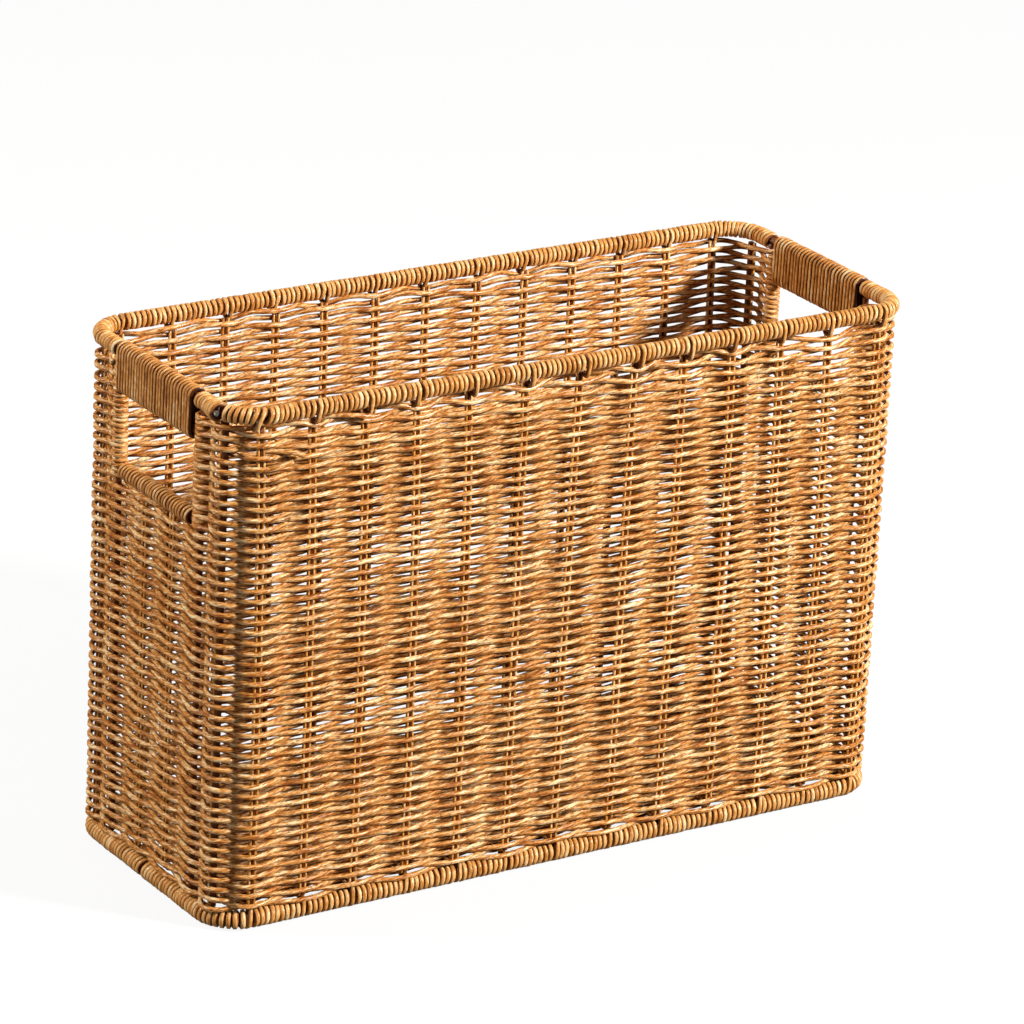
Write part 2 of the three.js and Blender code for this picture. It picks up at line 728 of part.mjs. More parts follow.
// Half of the basket: one long side with its two corners, and the end on its left
function addHalf(basket, turn, side, otherSide, near, far) {
	const half = new THREE.Group();
	half.rotation.z = turn;
	basket.add(half);

	addStrand(half, `${side}_weave`, frontWeave(), WEAVE_COLOUR);
	addStrand(half, `${near}_end_weave`, leftEndWeave(), WEAVE_COLOUR);
	addStrand(half, `${side}_rim_wrap`, rimWrap(), WRAP_COLOUR);
	addStrand(half, `${side}_base_wrap`, baseWrap(), WRAP_COLOUR);
	addStrand(half, `${near}_grip_wrap`, gripWrap(), WRAP_COLOUR);
	addStrand(half, `${near}_sill_wrap`, sillWrap(), WRAP_COLOUR);
	addWire(half, `${near}_grip_bar`, crosswiseWire(
		-rimLoop.halfLength, gripBarZ, gripHalfLength, RING_WIRE_DIAMETER, WIRE_SIDES,
	));
	addWire(half, `${near}_sill_bar`, crosswiseWire(
		-wallLoop.halfLength, sillZ, gripHalfLength, RING_WIRE_DIAMETER, WIRE_SIDES,
	));

	for (const [name, direction] of [[near, -1], [far, 1]]) {
		const post = wallLoop.at(direction * cornerPostWalk);
		addStrand(half, `${side}_${name}_corner_weave`, cornerWeave(direction), WEAVE_COLOUR);
		addWire(half, `${side}_${name}_corner_post`, uprightWire(
			post.x, post.y, postBottom, postTop, POST_WIRE_DIAMETER, WIRE_SIDES,
		));
	}

	for (const [name, direction] of [[side, -1], [otherSide, 1]]) {
		const [low, high] = endStakePlaces();
		addWire(half, `${near}_${name}_handle_post`, uprightWire(
			-wallLoop.halfLength, direction * postY, postBottom, postTop, POST_WIRE_DIAMETER, WIRE_SIDES,
		));
		addStrand(half, `${near}_${name}_jamb_wrap`, jambWrap(direction * postY), WRAP_COLOUR);
		addStrand(half, `${near}_${name}_end_stake`, leftEndStake(direction < 0 ? low : high), STAKE_COLOUR);
	}
}

const basket = new THREE.Group();
addFrame(basket);
addHalf(basket, 0, 'front', 'back', 'left', 'right');
addHalf(basket, HALF_TURN, 'back', 'front', 'right', 'left');
addCrossStakes(basket);
addStrand(basket, 'bottom_weave', bottomWeave(), WEAVE_COLOUR);

export default basket;
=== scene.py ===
"""Looks of a woven magazine basket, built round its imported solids. Metres, +Z up, front at -Y."""

import logging
import math
from collections.abc import Iterable
from dataclasses import dataclass, field, replace
from enum import Enum, auto

import bpy
import numpy as np
from mathutils import Matrix, Vector


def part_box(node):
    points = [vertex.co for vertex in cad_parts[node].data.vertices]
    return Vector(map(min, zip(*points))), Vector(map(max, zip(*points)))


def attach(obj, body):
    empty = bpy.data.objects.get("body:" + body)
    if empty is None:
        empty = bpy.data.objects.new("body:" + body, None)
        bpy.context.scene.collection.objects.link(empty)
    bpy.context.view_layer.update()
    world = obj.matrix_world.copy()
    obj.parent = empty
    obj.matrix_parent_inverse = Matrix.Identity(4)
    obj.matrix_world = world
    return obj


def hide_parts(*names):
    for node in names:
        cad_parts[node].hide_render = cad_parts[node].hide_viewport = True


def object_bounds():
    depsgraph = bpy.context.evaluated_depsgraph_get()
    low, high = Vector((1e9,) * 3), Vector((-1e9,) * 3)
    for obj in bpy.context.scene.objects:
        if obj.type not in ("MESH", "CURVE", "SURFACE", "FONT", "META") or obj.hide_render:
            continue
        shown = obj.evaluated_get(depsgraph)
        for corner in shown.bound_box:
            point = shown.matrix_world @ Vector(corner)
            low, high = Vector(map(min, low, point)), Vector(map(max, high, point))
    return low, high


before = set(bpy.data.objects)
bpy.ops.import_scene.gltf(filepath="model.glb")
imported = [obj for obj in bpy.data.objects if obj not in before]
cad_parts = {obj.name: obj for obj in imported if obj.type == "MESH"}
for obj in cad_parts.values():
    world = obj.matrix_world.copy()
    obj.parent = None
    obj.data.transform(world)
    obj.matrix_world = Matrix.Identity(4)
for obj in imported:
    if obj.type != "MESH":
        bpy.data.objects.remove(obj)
CAD_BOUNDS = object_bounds()

MM = 0.001
QUARTER_TURN = math.pi / 2
FULL_TURN = 2 * math.pi
ROOT_BODY = "root"
BAKE_MAP = "OFBake"
GRAIN = "grain"
# Name of the attribute that places the painted shade: how far each side of a strand faces out.
SHADE_FACING = "facing"
SEED = 20260
TINY = 1e-12
UP = (0.0, 0.0, 1.0)

log = logging.getLogger("basket")


class Slot(Enum):
    """The record's material slots."""

    WEAVE = "weave"
    WRAP = "wrap"
    STAKE = "stake"
    STEEL = "frame_steel"


class Side(Enum):
    """The two long sides, with the sign of their Y."""

    FRONT = -1
    BACK = 1

    @property
    def word(self) -> str:
        """The side's name in piece and node names."""
        return self.name.lower()


class End(Enum):
    """The two short ends, with the sign of their X."""

    LEFT = -1
    RIGHT = 1

    @property
    def word(self) -> str:
        """The end's name in piece and node names."""
        return self.name.lower()


# Shader building


class Signal:
    """A node's output that Python expressions can work with."""

    def __init__(self, bench: "Bench", socket: bpy.types.NodeSocket) -> None:
        """Wraps a socket of the bench's tree."""
        self.bench = bench
        self.socket = socket

    def _math(self, operation: str, first: "Signal | float", second: "Signal | float") -> "Signal":
        """Adds a Math node for one operation."""
        return self.bench.add("ShaderNodeMath", {"operation": operation}, {0: first, 1: second})

    def __add__(self, other: "Signal | float") -> "Signal":
        """self + other"""
        return self._math("ADD", self, other)

    __radd__ = __add__

    def __mul__(self, other: "Signal | float") -> "Signal":
        """self * other"""
        return self._math("MULTIPLY", self, other)

    __rmul__ = __mul__

    def __sub__(self, other: "Signal | float") -> "Signal":
        """self - other"""
        return self._math("SUBTRACT", self, other)

    def __rsub__(self, other: "Signal | float") -> "Signal":
        """other - self"""
        return self._math("SUBTRACT", other, self)


class Bench:
    """The node tree of one material or world, with one way to add a node."""

    MIX_A = 6
    MIX_B = 7
    MIX_RESULT = 2
    STREAK_ROUGHNESS = 0.55
    PIT_ROUGHNESS = 0.6

    def __init__(self, owner: bpy.types.ID) -> None:
        """Clears the owner's tree and keeps both.

        Args:
            owner: The material or the world.
        """
        owner.use_nodes = True
        self.owner = owner
        self.tree = owner.node_tree
        self.tree.nodes.clear()

    def add(
        self,
        kind: str,
        settings: dict | None = None,
        inputs: dict | None = None,
        output: int | str = 0,
    ) -> Signal:
        """Adds a node.

        Args:
            kind: The node's type.
            settings: Attributes set first; the key stops holds a ramp's places and colours.
            inputs: Values or signals by socket name or number.
            output: The socket that the returned signal reads.

        Returns:
            The signal of the chosen output.
        """
        node = self.tree.nodes.new(kind)
        for name, value in (settings or {}).items():
            if name == "stops":
                self._set_stops(node.color_ramp, value)
            else:
                setattr(node, name, value)
        for name, value in (inputs or {}).items():
            if isinstance(value, Signal):
                self.tree.links.new(value.socket, node.inputs[name])
            else:
                node.inputs[name].default_value = value
        return Signal(self, node.outputs[output]) if node.outputs else Signal(self, None)

    @staticmethod
    def _set_stops(ramp: bpy.types.ColorRamp, stops: list[tuple]) -> None:
        """Gives a ramp its stops, each a place and a colour."""
        while len(ramp.elements) < len(stops):
            ramp.elements.new(1)
        for element, (place, stop_colour) in zip(ramp.elements, stops, strict=True):
            element.position = place
            element.color = stop_colour

    def mix(self, factor: Signal, first: Signal | tuple, second: Signal | tuple) -> Signal:
        """Mixes two colours by a factor."""
        inputs = {0: factor, self.MIX_A: first, self.MIX_B: second}
        return self.add("ShaderNodeMix", {"data_type": "RGBA"}, inputs, self.MIX_RESULT)

    def noise(self, vector: Signal, size: tuple, detail: float, roughness: float) -> Signal:
        """Noise from 0 to 1.

        Args:
            vector: The coordinates that it lies on.
            size: How long, wide and deep its blots are.
            detail: How many finer layers it has.
            roughness: How strong those are.

        Returns:
            The noise.
        """
        scale = tuple(1 / length for length in size)
        scaled = self.add("ShaderNodeVectorMath", {"operation": "MULTIPLY"}, {0: vector, 1: scale})
        inputs = {"Vector": scaled, "Scale": 1, "Detail": detail, "Roughness": roughness}
        return self.add("ShaderNodeTexNoise", {}, inputs)

    def streaks(self, grain: Signal, length: float, width: float, detail: float) -> Signal:
        """Noise drawn out along the strands, this long and this wide."""
        return self.noise(grain, (length, width, width), detail, self.STREAK_ROUGHNESS)

    def pits(self, size: tuple, detail: float) -> Signal:
        """Noise on the object's own coordinates."""
        place = self.add("ShaderNodeTexCoord", {}, {}, "Object")
        return self.noise(place, size, detail, self.PIT_ROUGHNESS)

    def between(self, value: Signal, low: float, high: float) -> Signal:
        """0 below low, 1 above high and smooth between them."""
        inputs = {"Value": value, "From Min": low, "From Max": high}
        return self.add("ShaderNodeMapRange", {"interpolation_type": "SMOOTHSTEP"}, inputs)

    def bump(self, height: Signal, depth: float, strength: float) -> Signal:
        """A surface direction that follows a height."""
        return self.add("ShaderNodeBump", {}, {"Strength": strength, "Distance": depth, "Height": height})

    def close(self, inputs: dict) -> bpy.types.Material:
        """Gives the material its shader.

        Args:
            inputs: Values or signals by the shader's socket names.

        Returns:
            The material.
        """
        shader = self.add("ShaderNodeBsdfPrincipled", {}, inputs)
        self.add("ShaderNodeOutputMaterial", {}, {"Surface": shader})
        return self.owner


def colour(code: str) -> tuple[float, float, float, float]:
    """The linear colour of a code, by the screen standard's curve.

    Args:
        code: Six hexadecimal digits.

    Returns:
        Red, green, blue and a full alpha.
    """
    straight_below, slope, offset, power = 0.04045, 12.92, 0.055, 2.4
    channels = [int(code[place : place + 2], 16) / 255 for place in (0, 2, 4)]
    linear = [c / slope if c <= straight_below else ((c + offset) / (1 + offset)) ** power for c in channels]
    return (*linear, 1.0)


# Finishes


@dataclass(frozen=True)
class StrandFinish:
    """Glossy imitation rattan: lengthwise fibres in golden brown and brown flecks, with painted shade in the
    grooves, recesses and undersides.
    """

    name: str
    # The next field is the dark colour of the painted shade on sides that face away from the open.
    stain: str
    dark: str
    body: str
    light: str
    fleck: str
    fleck_from: float = 0.57
    fleck_edge: float = 0.07
    fleck_share: float = 0.7
    fibre_length: float = 6 * MM
    fibre_width: float = 1.0 * MM
    fine_length: float = 2.4 * MM
    fine_width: float = 0.5 * MM
    tone_length: float = 22 * MM
    tone_width: float = 6 * MM
    fleck_length: float = 2.4 * MM
    fleck_width: float = 0.8 * MM
    fibre_shade: float = 0.4
    fine_shade: float = 0.35
    tone_shade: float = 0.25
    fibre_relief: float = 0.7
    fine_relief: float = 0.3
    low_shade: float = 0.4
    high_shade: float = 0.61
    # Where the painted shade fades in on the facing value, and how strong it gets:
    groove_from: float = -0.35
    groove_to: float = 0.75
    groove_share: float = 0.8
    roughness_low: float = 0.28
    roughness_high: float = 0.5
    bump_depth: float = 0.3 * MM
    bump_strength: float = 0.9
    specular: float = 0.22
    coat: float = 0.2
    coat_roughness: float = 0.15

    def material(self) -> bpy.types.Material:
        """Makes the material.

        Returns:
            The material, which reads the strands' own coordinates and how far each side faces out, and
            paints shade on the sides that face away.
        """
        bench = Bench(bpy.data.materials.new(self.name))
        grain = bench.add("ShaderNodeAttribute", {"attribute_name": GRAIN}, {}, "Vector")
        facing = bench.add("ShaderNodeAttribute", {"attribute_name": SHADE_FACING}, {}, "Fac")
        fibres = bench.streaks(grain, self.fibre_length, self.fibre_width, 2)
        fine = bench.streaks(grain, self.fine_length, self.fine_width, 2)
        tone = bench.streaks(grain, self.tone_length, self.tone_width, 1)
        specks = bench.streaks(grain, self.fleck_length, self.fleck_width, 3)
        shade = fibres * self.fibre_shade + fine * self.fine_shade + tone * self.tone_shade
        places = (self.low_shade, (self.low_shade + self.high_shade) / 2, self.high_shade)
        colours = (colour(code) for code in (self.dark, self.body, self.light))
        stops = list(zip(places, colours, strict=True))
        golden = bench.add("ShaderNodeValToRGB", {"stops": stops}, {0: shade})
        flecks = bench.between(specks, self.fleck_from, self.fleck_from + self.fleck_edge)
        speckled = bench.mix(flecks * self.fleck_share, golden, colour(self.fleck))
        # Painted shade: sides that face away (grooves, recesses, undersides, inner passes) are mixed towards
        # the dark shade colour.
        painted_shade_mask = (1 - bench.between(facing, self.groove_from, self.groove_to)) * self.groove_share
        relief = fibres * self.fibre_relief + fine * self.fine_relief
        return bench.close(
            {
                "Base Color": bench.mix(painted_shade_mask, speckled, colour(self.stain)),
                "Roughness": self.roughness_low + relief * (self.roughness_high - self.roughness_low),
                "Normal": bench.bump(relief, self.bump_depth, self.bump_strength),
                "Specular IOR Level": self.specular,
                "Coat Weight": self.coat,
                "Coat Roughness": self.coat_roughness,
            }
        )


@dataclass(frozen=True)
class WireFinish:
    """Steel wire under a thin brown coat, worn a little where strands rub it."""

    name: str = "coated_wire"
    coat_colour: str = "6e3813"
    worn_colour: str = "a8703a"
    grain_size: float = 1.4 * MM
    grain_detail: float = 4
    worn_from: float = 0.62
    worn_edge: float = 0.1
    roughness_low: float = 0.35
    roughness_high: float = 0.6
    bump_depth: float = 0.05 * MM
    bump_strength: float = 0.5

    def material(self) -> bpy.types.Material:
        """Makes the material.

        Returns:
            The material, on the object's own coordinates.
        """
        bench = Bench(bpy.data.materials.new(self.name))
        pitting = bench.pits((self.grain_size,) * 3, self.grain_detail)
        worn = bench.between(pitting, self.worn_from, self.worn_from + self.worn_edge)
        return bench.close(
            {
                "Base Color": bench.mix(worn, colour(self.coat_colour), colour(self.worn_colour)),
                "Roughness": self.roughness_low + pitting * (self.roughness_high - self.roughness_low),
                "Normal": bench.bump(pitting, self.bump_depth, self.bump_strength),
            }
        )


@dataclass(frozen=True)
class SteelFinish:
    """Bare cut steel with fine scratches."""

    name: str = "cut_steel"
    bright: str = "b9b4aa"
    dull: str = "7c776e"
    scratch_size: float = 0.5 * MM
    scratch_length: float = 1.5 * MM
    scratch_detail: float = 3
    roughness_low: float = 0.2
    roughness_high: float = 0.5

    def material(self) -> bpy.types.Material:
        """Makes the material.

        Returns:
            The material, on the object's own coordinates.
        """
        bench = Bench(bpy.data.materials.new(self.name))
        size = (self.scratch_size, self.scratch_size, self.scratch_length)
        scratches = bench.pits(size, self.scratch_detail)
        return bench.close(
            {
                "Base Color": bench.mix(scratches, colour(self.dull), colour(self.bright)),
                "Metallic": 1.0,
                "Roughness": self.roughness_low + scratches * (self.roughness_high - self.roughness_low),
            }
        )


# Strands


def smooth(share: np.ndarray) -> np.ndarray:
    """A share from 0 to 1 with a soft start and end."""
    return share * share * (3 - 2 * share)


def unit(vectors: np.ndarray) -> np.ndarray:
    """The vectors at length 1."""
    return vectors / np.maximum(np.linalg.norm(vectors, axis=-1, keepdims=True), TINY)


class Clean(Enum):
    """Which sides of a strand are kept free of painted shade. The others get painted shade."""

    OUTER = auto()
    OPEN = auto()
    BROAD = auto()


@dataclass
class Strand:
    """A strand's middle line.

    Args:
        points: Its places, one row each.
        radius: Its radius, one number or one a place.
        reference: A direction, or one a place, that the section's first side faces.
        outward: The direction of the side that is seen, or one a place, shorter where all sides are seen.
        unshaded: The sides kept free of painted shade: the outer one, all the open ones or the two broad
            ones.
    """

    points: np.ndarray
    radius: np.ndarray | float
    reference: np.ndarray
    outward: np.ndarray
    clean: Clean = Clean.OUTER

    # Weights of the painted shade: the side that is seen, the upper side, painted lighter with the lower
    # side darker as if lit from above, and the open middle of a crossing.
    BROAD_SHARE = 0.8
    UPPER_SHARE = 0.55
    ROUND_SHARE = 0.3

    def facing(self, ring: np.ndarray) -> np.ndarray:
        """How far each side of the sections faces out.

        Args:
            ring: The directions of the sides, one row of them a place.

        Returns:
            1 for a side that is seen and gets no painted shade, down to -1 for a side that gets the full
            painted shade.
        """
        outward = np.broadcast_to(self.outward, self.points.shape)
        faced = (ring * outward[:, None, :]).sum(-1)
        # Broad and open strands get painted shade on their lower sides and less on their upper sides.
        if self.clean is Clean.BROAD:
            faced = self.BROAD_SHARE * np.abs(faced) + self.UPPER_SHARE * ring[:, :, 2]
        if self.clean is Clean.OPEN:
            open_share = 1 - np.linalg.norm(outward, axis=-1, keepdims=True)
            faced = self.BROAD_SHARE * faced + self.ROUND_SHARE * open_share
            faced = faced + self.UPPER_SHARE * ring[:, :, 2]
        return faced


class StrandMesh:
    """Gathers strands and turns them into one mesh with their own coordinates and a facing value that places
    painted shade.
    """

    SIDES = 12
    TWIST = FULL_TURN / 0.045
    GRAIN_SHIFT = (9.0, 0.8, 0.8)
    RIBS = 6
    RIB_DEPTH = 0.085
    # How much the ribs move the facing value, so that the grooves between ribs get painted shade.
    RIB_SHARE = 0.34
    ROLL = 0.22
    ROLL_LENGTH = 0.03
    STRIP_SHAPE = 0.014
    STRIP_MARGIN = 0.04
    STRIP_SLACK = 1e-9
    LEAST_STRIPS = 3
    CAP_SIZE = 0.3

    def __init__(self, name: str, rng: np.random.Generator, ribbed: float = 1.0) -> None:
        """Starts an empty mesh.

        Args:
            name: The piece's name.
            rng: Where the strands' unevenness comes from.
            ribbed: How much of the full ribs the strands have.
        """
        self.name = name
        self.rng = rng
        self.ribbed = ribbed
        self.around = np.arange(self.SIDES) * FULL_TURN / self.SIDES
        self.vertices: list[np.ndarray] = []
        self.grain: list[np.ndarray] = []
        self.facing: list[np.ndarray] = []
        self.quads: list[np.ndarray] = []
        self.caps: list[np.ndarray] = []
        self.steps: list[np.ndarray] = []
        self.count = 0

    def add(self, strand: Strand) -> None:
        """Adds one strand as a closed tube.

        Args:
            strand: The strand.
        """
        points = strand.points
        total = len(points)
        tangent = unit(np.gradient(points, axis=0))
        reference = np.broadcast_to(strand.reference, points.shape)
        across = unit(reference - (reference * tangent).sum(1, keepdims=True) * tangent)
        other = np.cross(tangent, across)
        radius = np.broadcast_to(np.asarray(strand.radius, float), (total,))[:, None]
        steps = np.linalg.norm(np.diff(points, axis=0), axis=1)
        walked = np.concatenate([[0.0], np.cumsum(steps)])
        ribs = np.cos(self.RIBS * self.around)[None, :] * self.ribbed
        roll = self.ROLL * Drift(self.rng, self.ROLL_LENGTH)(walked)
        around = self.around[None, :] + roll[:, None]
        on_first, on_second = np.cos(around)[:, :, None], np.sin(around)[:, :, None]
        ring = on_first * across[:, None, :] + on_second * other[:, None, :]
        reach = radius * (1 + self.RIB_DEPTH * ribs)
        self.vertices.append((points[:, None, :] + reach[:, :, None] * ring).reshape(-1, 3))

        turned = around + self.TWIST * walked[:, None]
        shift = self.rng.random(3) * self.GRAIN_SHIFT
        along = np.broadcast_to(walked[:, None], turned.shape)
        grain = np.stack([along, radius * np.cos(turned), radius * np.sin(turned)], axis=-1)
        self.grain.append((grain + shift).reshape(-1, 3))
        # Painted shade: the facing value is lowered in the grooves between the ribs.
        self.facing.append((strand.facing(ring) + self.RIB_SHARE * ribs).ravel())

        here = np.arange(total - 1)[:, None] * self.SIDES + self.count
        side = np.arange(self.SIDES)[None, :]
        following = (side + 1) % self.SIDES
        there = here + self.SIDES
        quads = np.stack([here + side, here + following, there + following, there + side], axis=-1)
        self.quads.append(quads.reshape(-1, 4))
        first = self.count + np.arange(self.SIDES)
        self.caps += [first[::-1], first + (total - 1) * self.SIDES]
        self.steps.append(steps)
        self.count += total * self.SIDES

    def _strip_map(self) -> np.ndarray:
        """Lays the tubes out as strips for baking, with the caps in a row of their own.

        Returns:
            One place on the map for each corner of each face.
        """
        steps = np.concatenate(self.steps)
        starts = np.concatenate([[0.0], np.cumsum(steps)[:-1]])
        total = float(steps.sum())
        rows = max(self.LEAST_STRIPS, math.ceil(math.sqrt(total / self.STRIP_SHAPE)))
        usable = total / rows * (1 + self.STRIP_SLACK)
        full = usable + float(steps.max())
        row = np.floor(starts / usable)
        low = (starts - row * usable) / full
        share = np.arange(self.SIDES + 1) / self.SIDES
        height = 1 / (rows + 1)
        level = (row[:, None] + self.STRIP_MARGIN + (1 - 2 * self.STRIP_MARGIN) * share[None, :]) * height
        shape = (len(steps), self.SIDES)
        left = np.broadcast_to(low[:, None], shape)
        right = np.broadcast_to((low + steps / full)[:, None], shape)
        lower, upper = level[:, :-1], level[:, 1:]
        corners = [(left, lower), (left, upper), (right, upper), (right, lower)]
        quads = np.stack([np.stack(corner, -1) for corner in corners], axis=2).reshape(-1, 2)
        count = len(self.caps)
        radius = self.CAP_SIZE * min(height, 1 / count)
        disc = np.stack([np.cos(self.around), np.sin(self.around)], -1) * radius
        places = (2 * np.arange(count) + 1) / (2 * count)
        centres = np.stack([places, np.full(count, 1 - height / 2)], -1)
        return np.concatenate([quads, (centres[:, None, :] + disc[None, :, :]).reshape(-1, 2)])

    def build(self, material: bpy.types.Material) -> bpy.types.Object:
        """Makes the object.

        Args:
            material: What the strands wear.

        Returns:
            The new object, linked to the scene.
        """
        mesh = bpy.data.meshes.new(self.name)
        vertices = np.concatenate(self.vertices)
        quads = np.concatenate(self.quads)
        caps = np.stack(self.caps)
        corners = np.concatenate([quads.ravel(), caps.ravel()])
        cap_starts = quads.size + np.arange(len(caps)) * self.SIDES
        starts = np.concatenate([np.arange(len(quads)) * quads.shape[1], cap_starts])
        mesh.vertices.add(len(vertices))
        mesh.vertices.foreach_set("co", vertices.astype(np.float32).ravel())
        mesh.loops.add(len(corners))
        mesh.loops.foreach_set("vertex_index", corners.astype(np.int32))
        mesh.polygons.add(len(starts))
        mesh.polygons.foreach_set("loop_start", starts.astype(np.int32))
        mesh.update(calc_edges=True)
        mesh.polygons.foreach_set("use_smooth", np.arange(len(starts)) < len(quads))
        layer = mesh.uv_layers.new(name=BAKE_MAP)
        layer.uv.foreach_set("vector", self._strip_map().astype(np.float32).ravel())
        grain = mesh.attributes.new(GRAIN, "FLOAT_VECTOR", "POINT")
        grain.data.foreach_set("vector", np.concatenate(self.grain).astype(np.float32).ravel())
        facing = mesh.attributes.new(SHADE_FACING, "FLOAT", "POINT")
        facing.data.foreach_set("value", np.concatenate(self.facing).astype(np.float32))
        mesh.materials.append(material)
        mesh.validate()
        return linked(self.name, mesh)


def linked(name: str, data: bpy.types.ID) -> bpy.types.Object:
    """Makes an object and links it to the scene.

    Args:
        name: The object's name.
        data: Its mesh, lamp or camera.

    Returns:
        The object.
    """
    made = bpy.data.objects.new(name, data)
    bpy.context.scene.collection.objects.link(made)
    return made


def settle(piece: bpy.types.Object, nodes: list[str]) -> None:
    """Fixes a piece to the basket and hides the solids that it stands for.

    Args:
        piece: The piece.
        nodes: The solids' nodes, or none.
    """
    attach(piece, ROOT_BODY)
    if nodes:
        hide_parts(*nodes)
    log.info("%s: %d faces", piece.name, len(piece.data.polygons))


@dataclass
class Maker:
    """Makes pieces of strand in one material."""

    material: bpy.types.Material
    slot: Slot
    rng: np.random.Generator
    ribbed: float = 1.0

    def make(self, name: str, strands: Iterable[Strand], nodes: list[str]) -> None:
        """Makes one piece and settles it.

        Args:
            name: The piece's name.
            strands: Its strands. A generator makes each one just before it is laid.
            nodes: The solids that it stands for, or none.
        """
        mesh = StrandMesh(name, self.rng, self.ribbed)
        for strand in strands:
            mesh.add(strand)
        settle(mesh.build(self.material), nodes)


# The basket's plan


@dataclass(frozen=True)
class PlanLoop:
    """A rounded rectangle seen from above, walked from the middle of the front towards +X."""

    half_length: float
    half_width: float
    radius: float

    @property
    def straight_x(self) -> float:
        """Half the straight part of a long side."""
        return self.half_length - self.radius

    @property
    def straight_y(self) -> float:
        """Half the straight part of a short end."""
        return self.half_width - self.radius

    def knots(self) -> np.ndarray:
        """The walks at which straights and arcs meet.

        Returns:
            The walks, from 0 once round.
        """
        arc = QUARTER_TURN * self.radius
        parts = [self.straight_x, arc, 2 * self.straight_y, arc, 2 * self.straight_x]
        parts += [arc, 2 * self.straight_y, arc, self.straight_x]
        return np.concatenate([[0.0], np.cumsum(parts)])

    @property
    def length(self) -> float:
        """The walk once round."""
        return float(self.knots()[-1])

    def at(self, walk: np.ndarray, outward: np.ndarray | float, z: np.ndarray | float) -> np.ndarray:
        """Places beside the loop.

        Args:
            walk: How far round they are.
            outward: How far outside the loop they are.
            z: Their heights.

        Returns:
            One row of X, Y and Z for each.
        """
        x, y = self.straight_x, self.straight_y
        knots = self.knots()
        turn = self._turned(walk)
        walk = np.mod(walk, knots[-1])
        core_x = np.interp(walk, knots, [0, x, x, x, x, -x, -x, -x, -x, 0])
        core_y = np.interp(walk, knots, [-y, -y, -y, y, y, y, y, -y, -y, -y])
        reach = self.radius + outward
        columns = (core_x + reach * np.sin(turn), core_y - reach * np.cos(turn), z)
        return np.stack(np.broadcast_arrays(*columns), -1)

    def _turned(self, walk: np.ndarray) -> np.ndarray:
        """How far the loop has turned at each place, from one corner's quarter turn to the next."""
        knots = self.knots()
        return np.interp(np.mod(walk, knots[-1]), knots, np.repeat(np.arange(5), 2) * QUARTER_TURN)

    def forward(self, walk: np.ndarray) -> np.ndarray:
        """The direction of the walk at each place."""
        turn = self._turned(walk)
        return np.stack([np.cos(turn), np.sin(turn), np.zeros_like(turn)], -1)

    def facing_out(self, walk: np.ndarray) -> np.ndarray:
        """The direction away from the basket at each place."""
        forward = self.forward(walk)
        return np.stack([forward[:, 1], -forward[:, 0], forward[:, 2]], -1)

    def walk_to_end(self, from_middle: float) -> float:
        """The walk to a place on the right end, this far from its middle towards the front."""
        return float(self.knots()[2]) + self.straight_y - from_middle


class Drift:
    """Slow unevenness of handwork: a few waves over the walk and the height, seeded."""

    WAVES = 5
    LENGTH_RANGE = (0.6, 1.7)
    SLOPE_RANGE = (-1.5, 1.5)
    PEAK = 1.2

    def __init__(self, rng: np.random.Generator, length: float, height: float = 1.0) -> None:
        """Picks the waves.

        Args:
            rng: Where they come from.
            length: About how long they are along the walk.
            height: About how high they are.
        """
        self.along = FULL_TURN / length * rng.uniform(*self.LENGTH_RANGE, self.WAVES)
        self.upward = FULL_TURN / height * rng.uniform(*self.SLOPE_RANGE, self.WAVES)
        self.start = rng.uniform(0, FULL_TURN, self.WAVES)

    def __call__(self, walk: np.ndarray, z: np.ndarray | float = 0.0) -> np.ndarray:
        """Unevenness from about -1 to 1 at places of this walk and height."""
        waves = np.sin(np.multiply.outer(walk, self.along) + np.multiply.outer(z, self.upward) + self.start)
        return waves.sum(-1) / math.sqrt(self.WAVES * 2) / self.PEAK


@dataclass(frozen=True)
class BasketPlan:
    """Sizes that the sub-assemblies share."""

    length: float
    width: float
    height: float
    corner_radius: float = 18 * MM
    ring_radius: float = 4.8 * MM
    post_wire_radius: float = 1.5 * MM
    wall_inset_ends: float = 0.7 * MM
    wall_inset_sides: float = 1.7 * MM
    base_inset_sides: float = 2.6 * MM
    row_pitch: float = 2.5223 * MM
    row_radius: float = 1.19 * MM
    row_zero_z: float = 13.36 * MM
    first_row: int = -1
    row_total: int = 94
    ring_row_total: int = 71
    stake_radius: float = 0.8 * MM
    stake_half_pair: float = 1.42 * MM
    stake_core_radius: float = 0.62 * MM

    @property
    def rim(self) -> PlanLoop:
        """The rim wire's middle line."""
        return PlanLoop(
            self.length / 2 - self.ring_radius, self.width / 2 - self.ring_radius, self.corner_radius
        )

    @property
    def wall(self) -> PlanLoop:
        """The middle line of the walls."""
        rim = self.rim
        return PlanLoop(
            rim.half_length - self.wall_inset_ends,
            rim.half_width - self.wall_inset_sides,
            self.corner_radius,
        )

    @property
    def base(self) -> PlanLoop:
        """The base wire's middle line."""
        rim = self.rim
        return PlanLoop(rim.half_length, rim.half_width - self.base_inset_sides, self.corner_radius)

    @property
    def rim_z(self) -> float:
        """The height of the rim wire's middle."""
        return self.height - self.ring_radius

    @property
    def base_z(self) -> float:
        """The height of the base wire's middle."""
        return self.ring_radius

    def row_z(self, row: int) -> float:
        """A row's height."""
        return self.row_zero_z + row * self.row_pitch


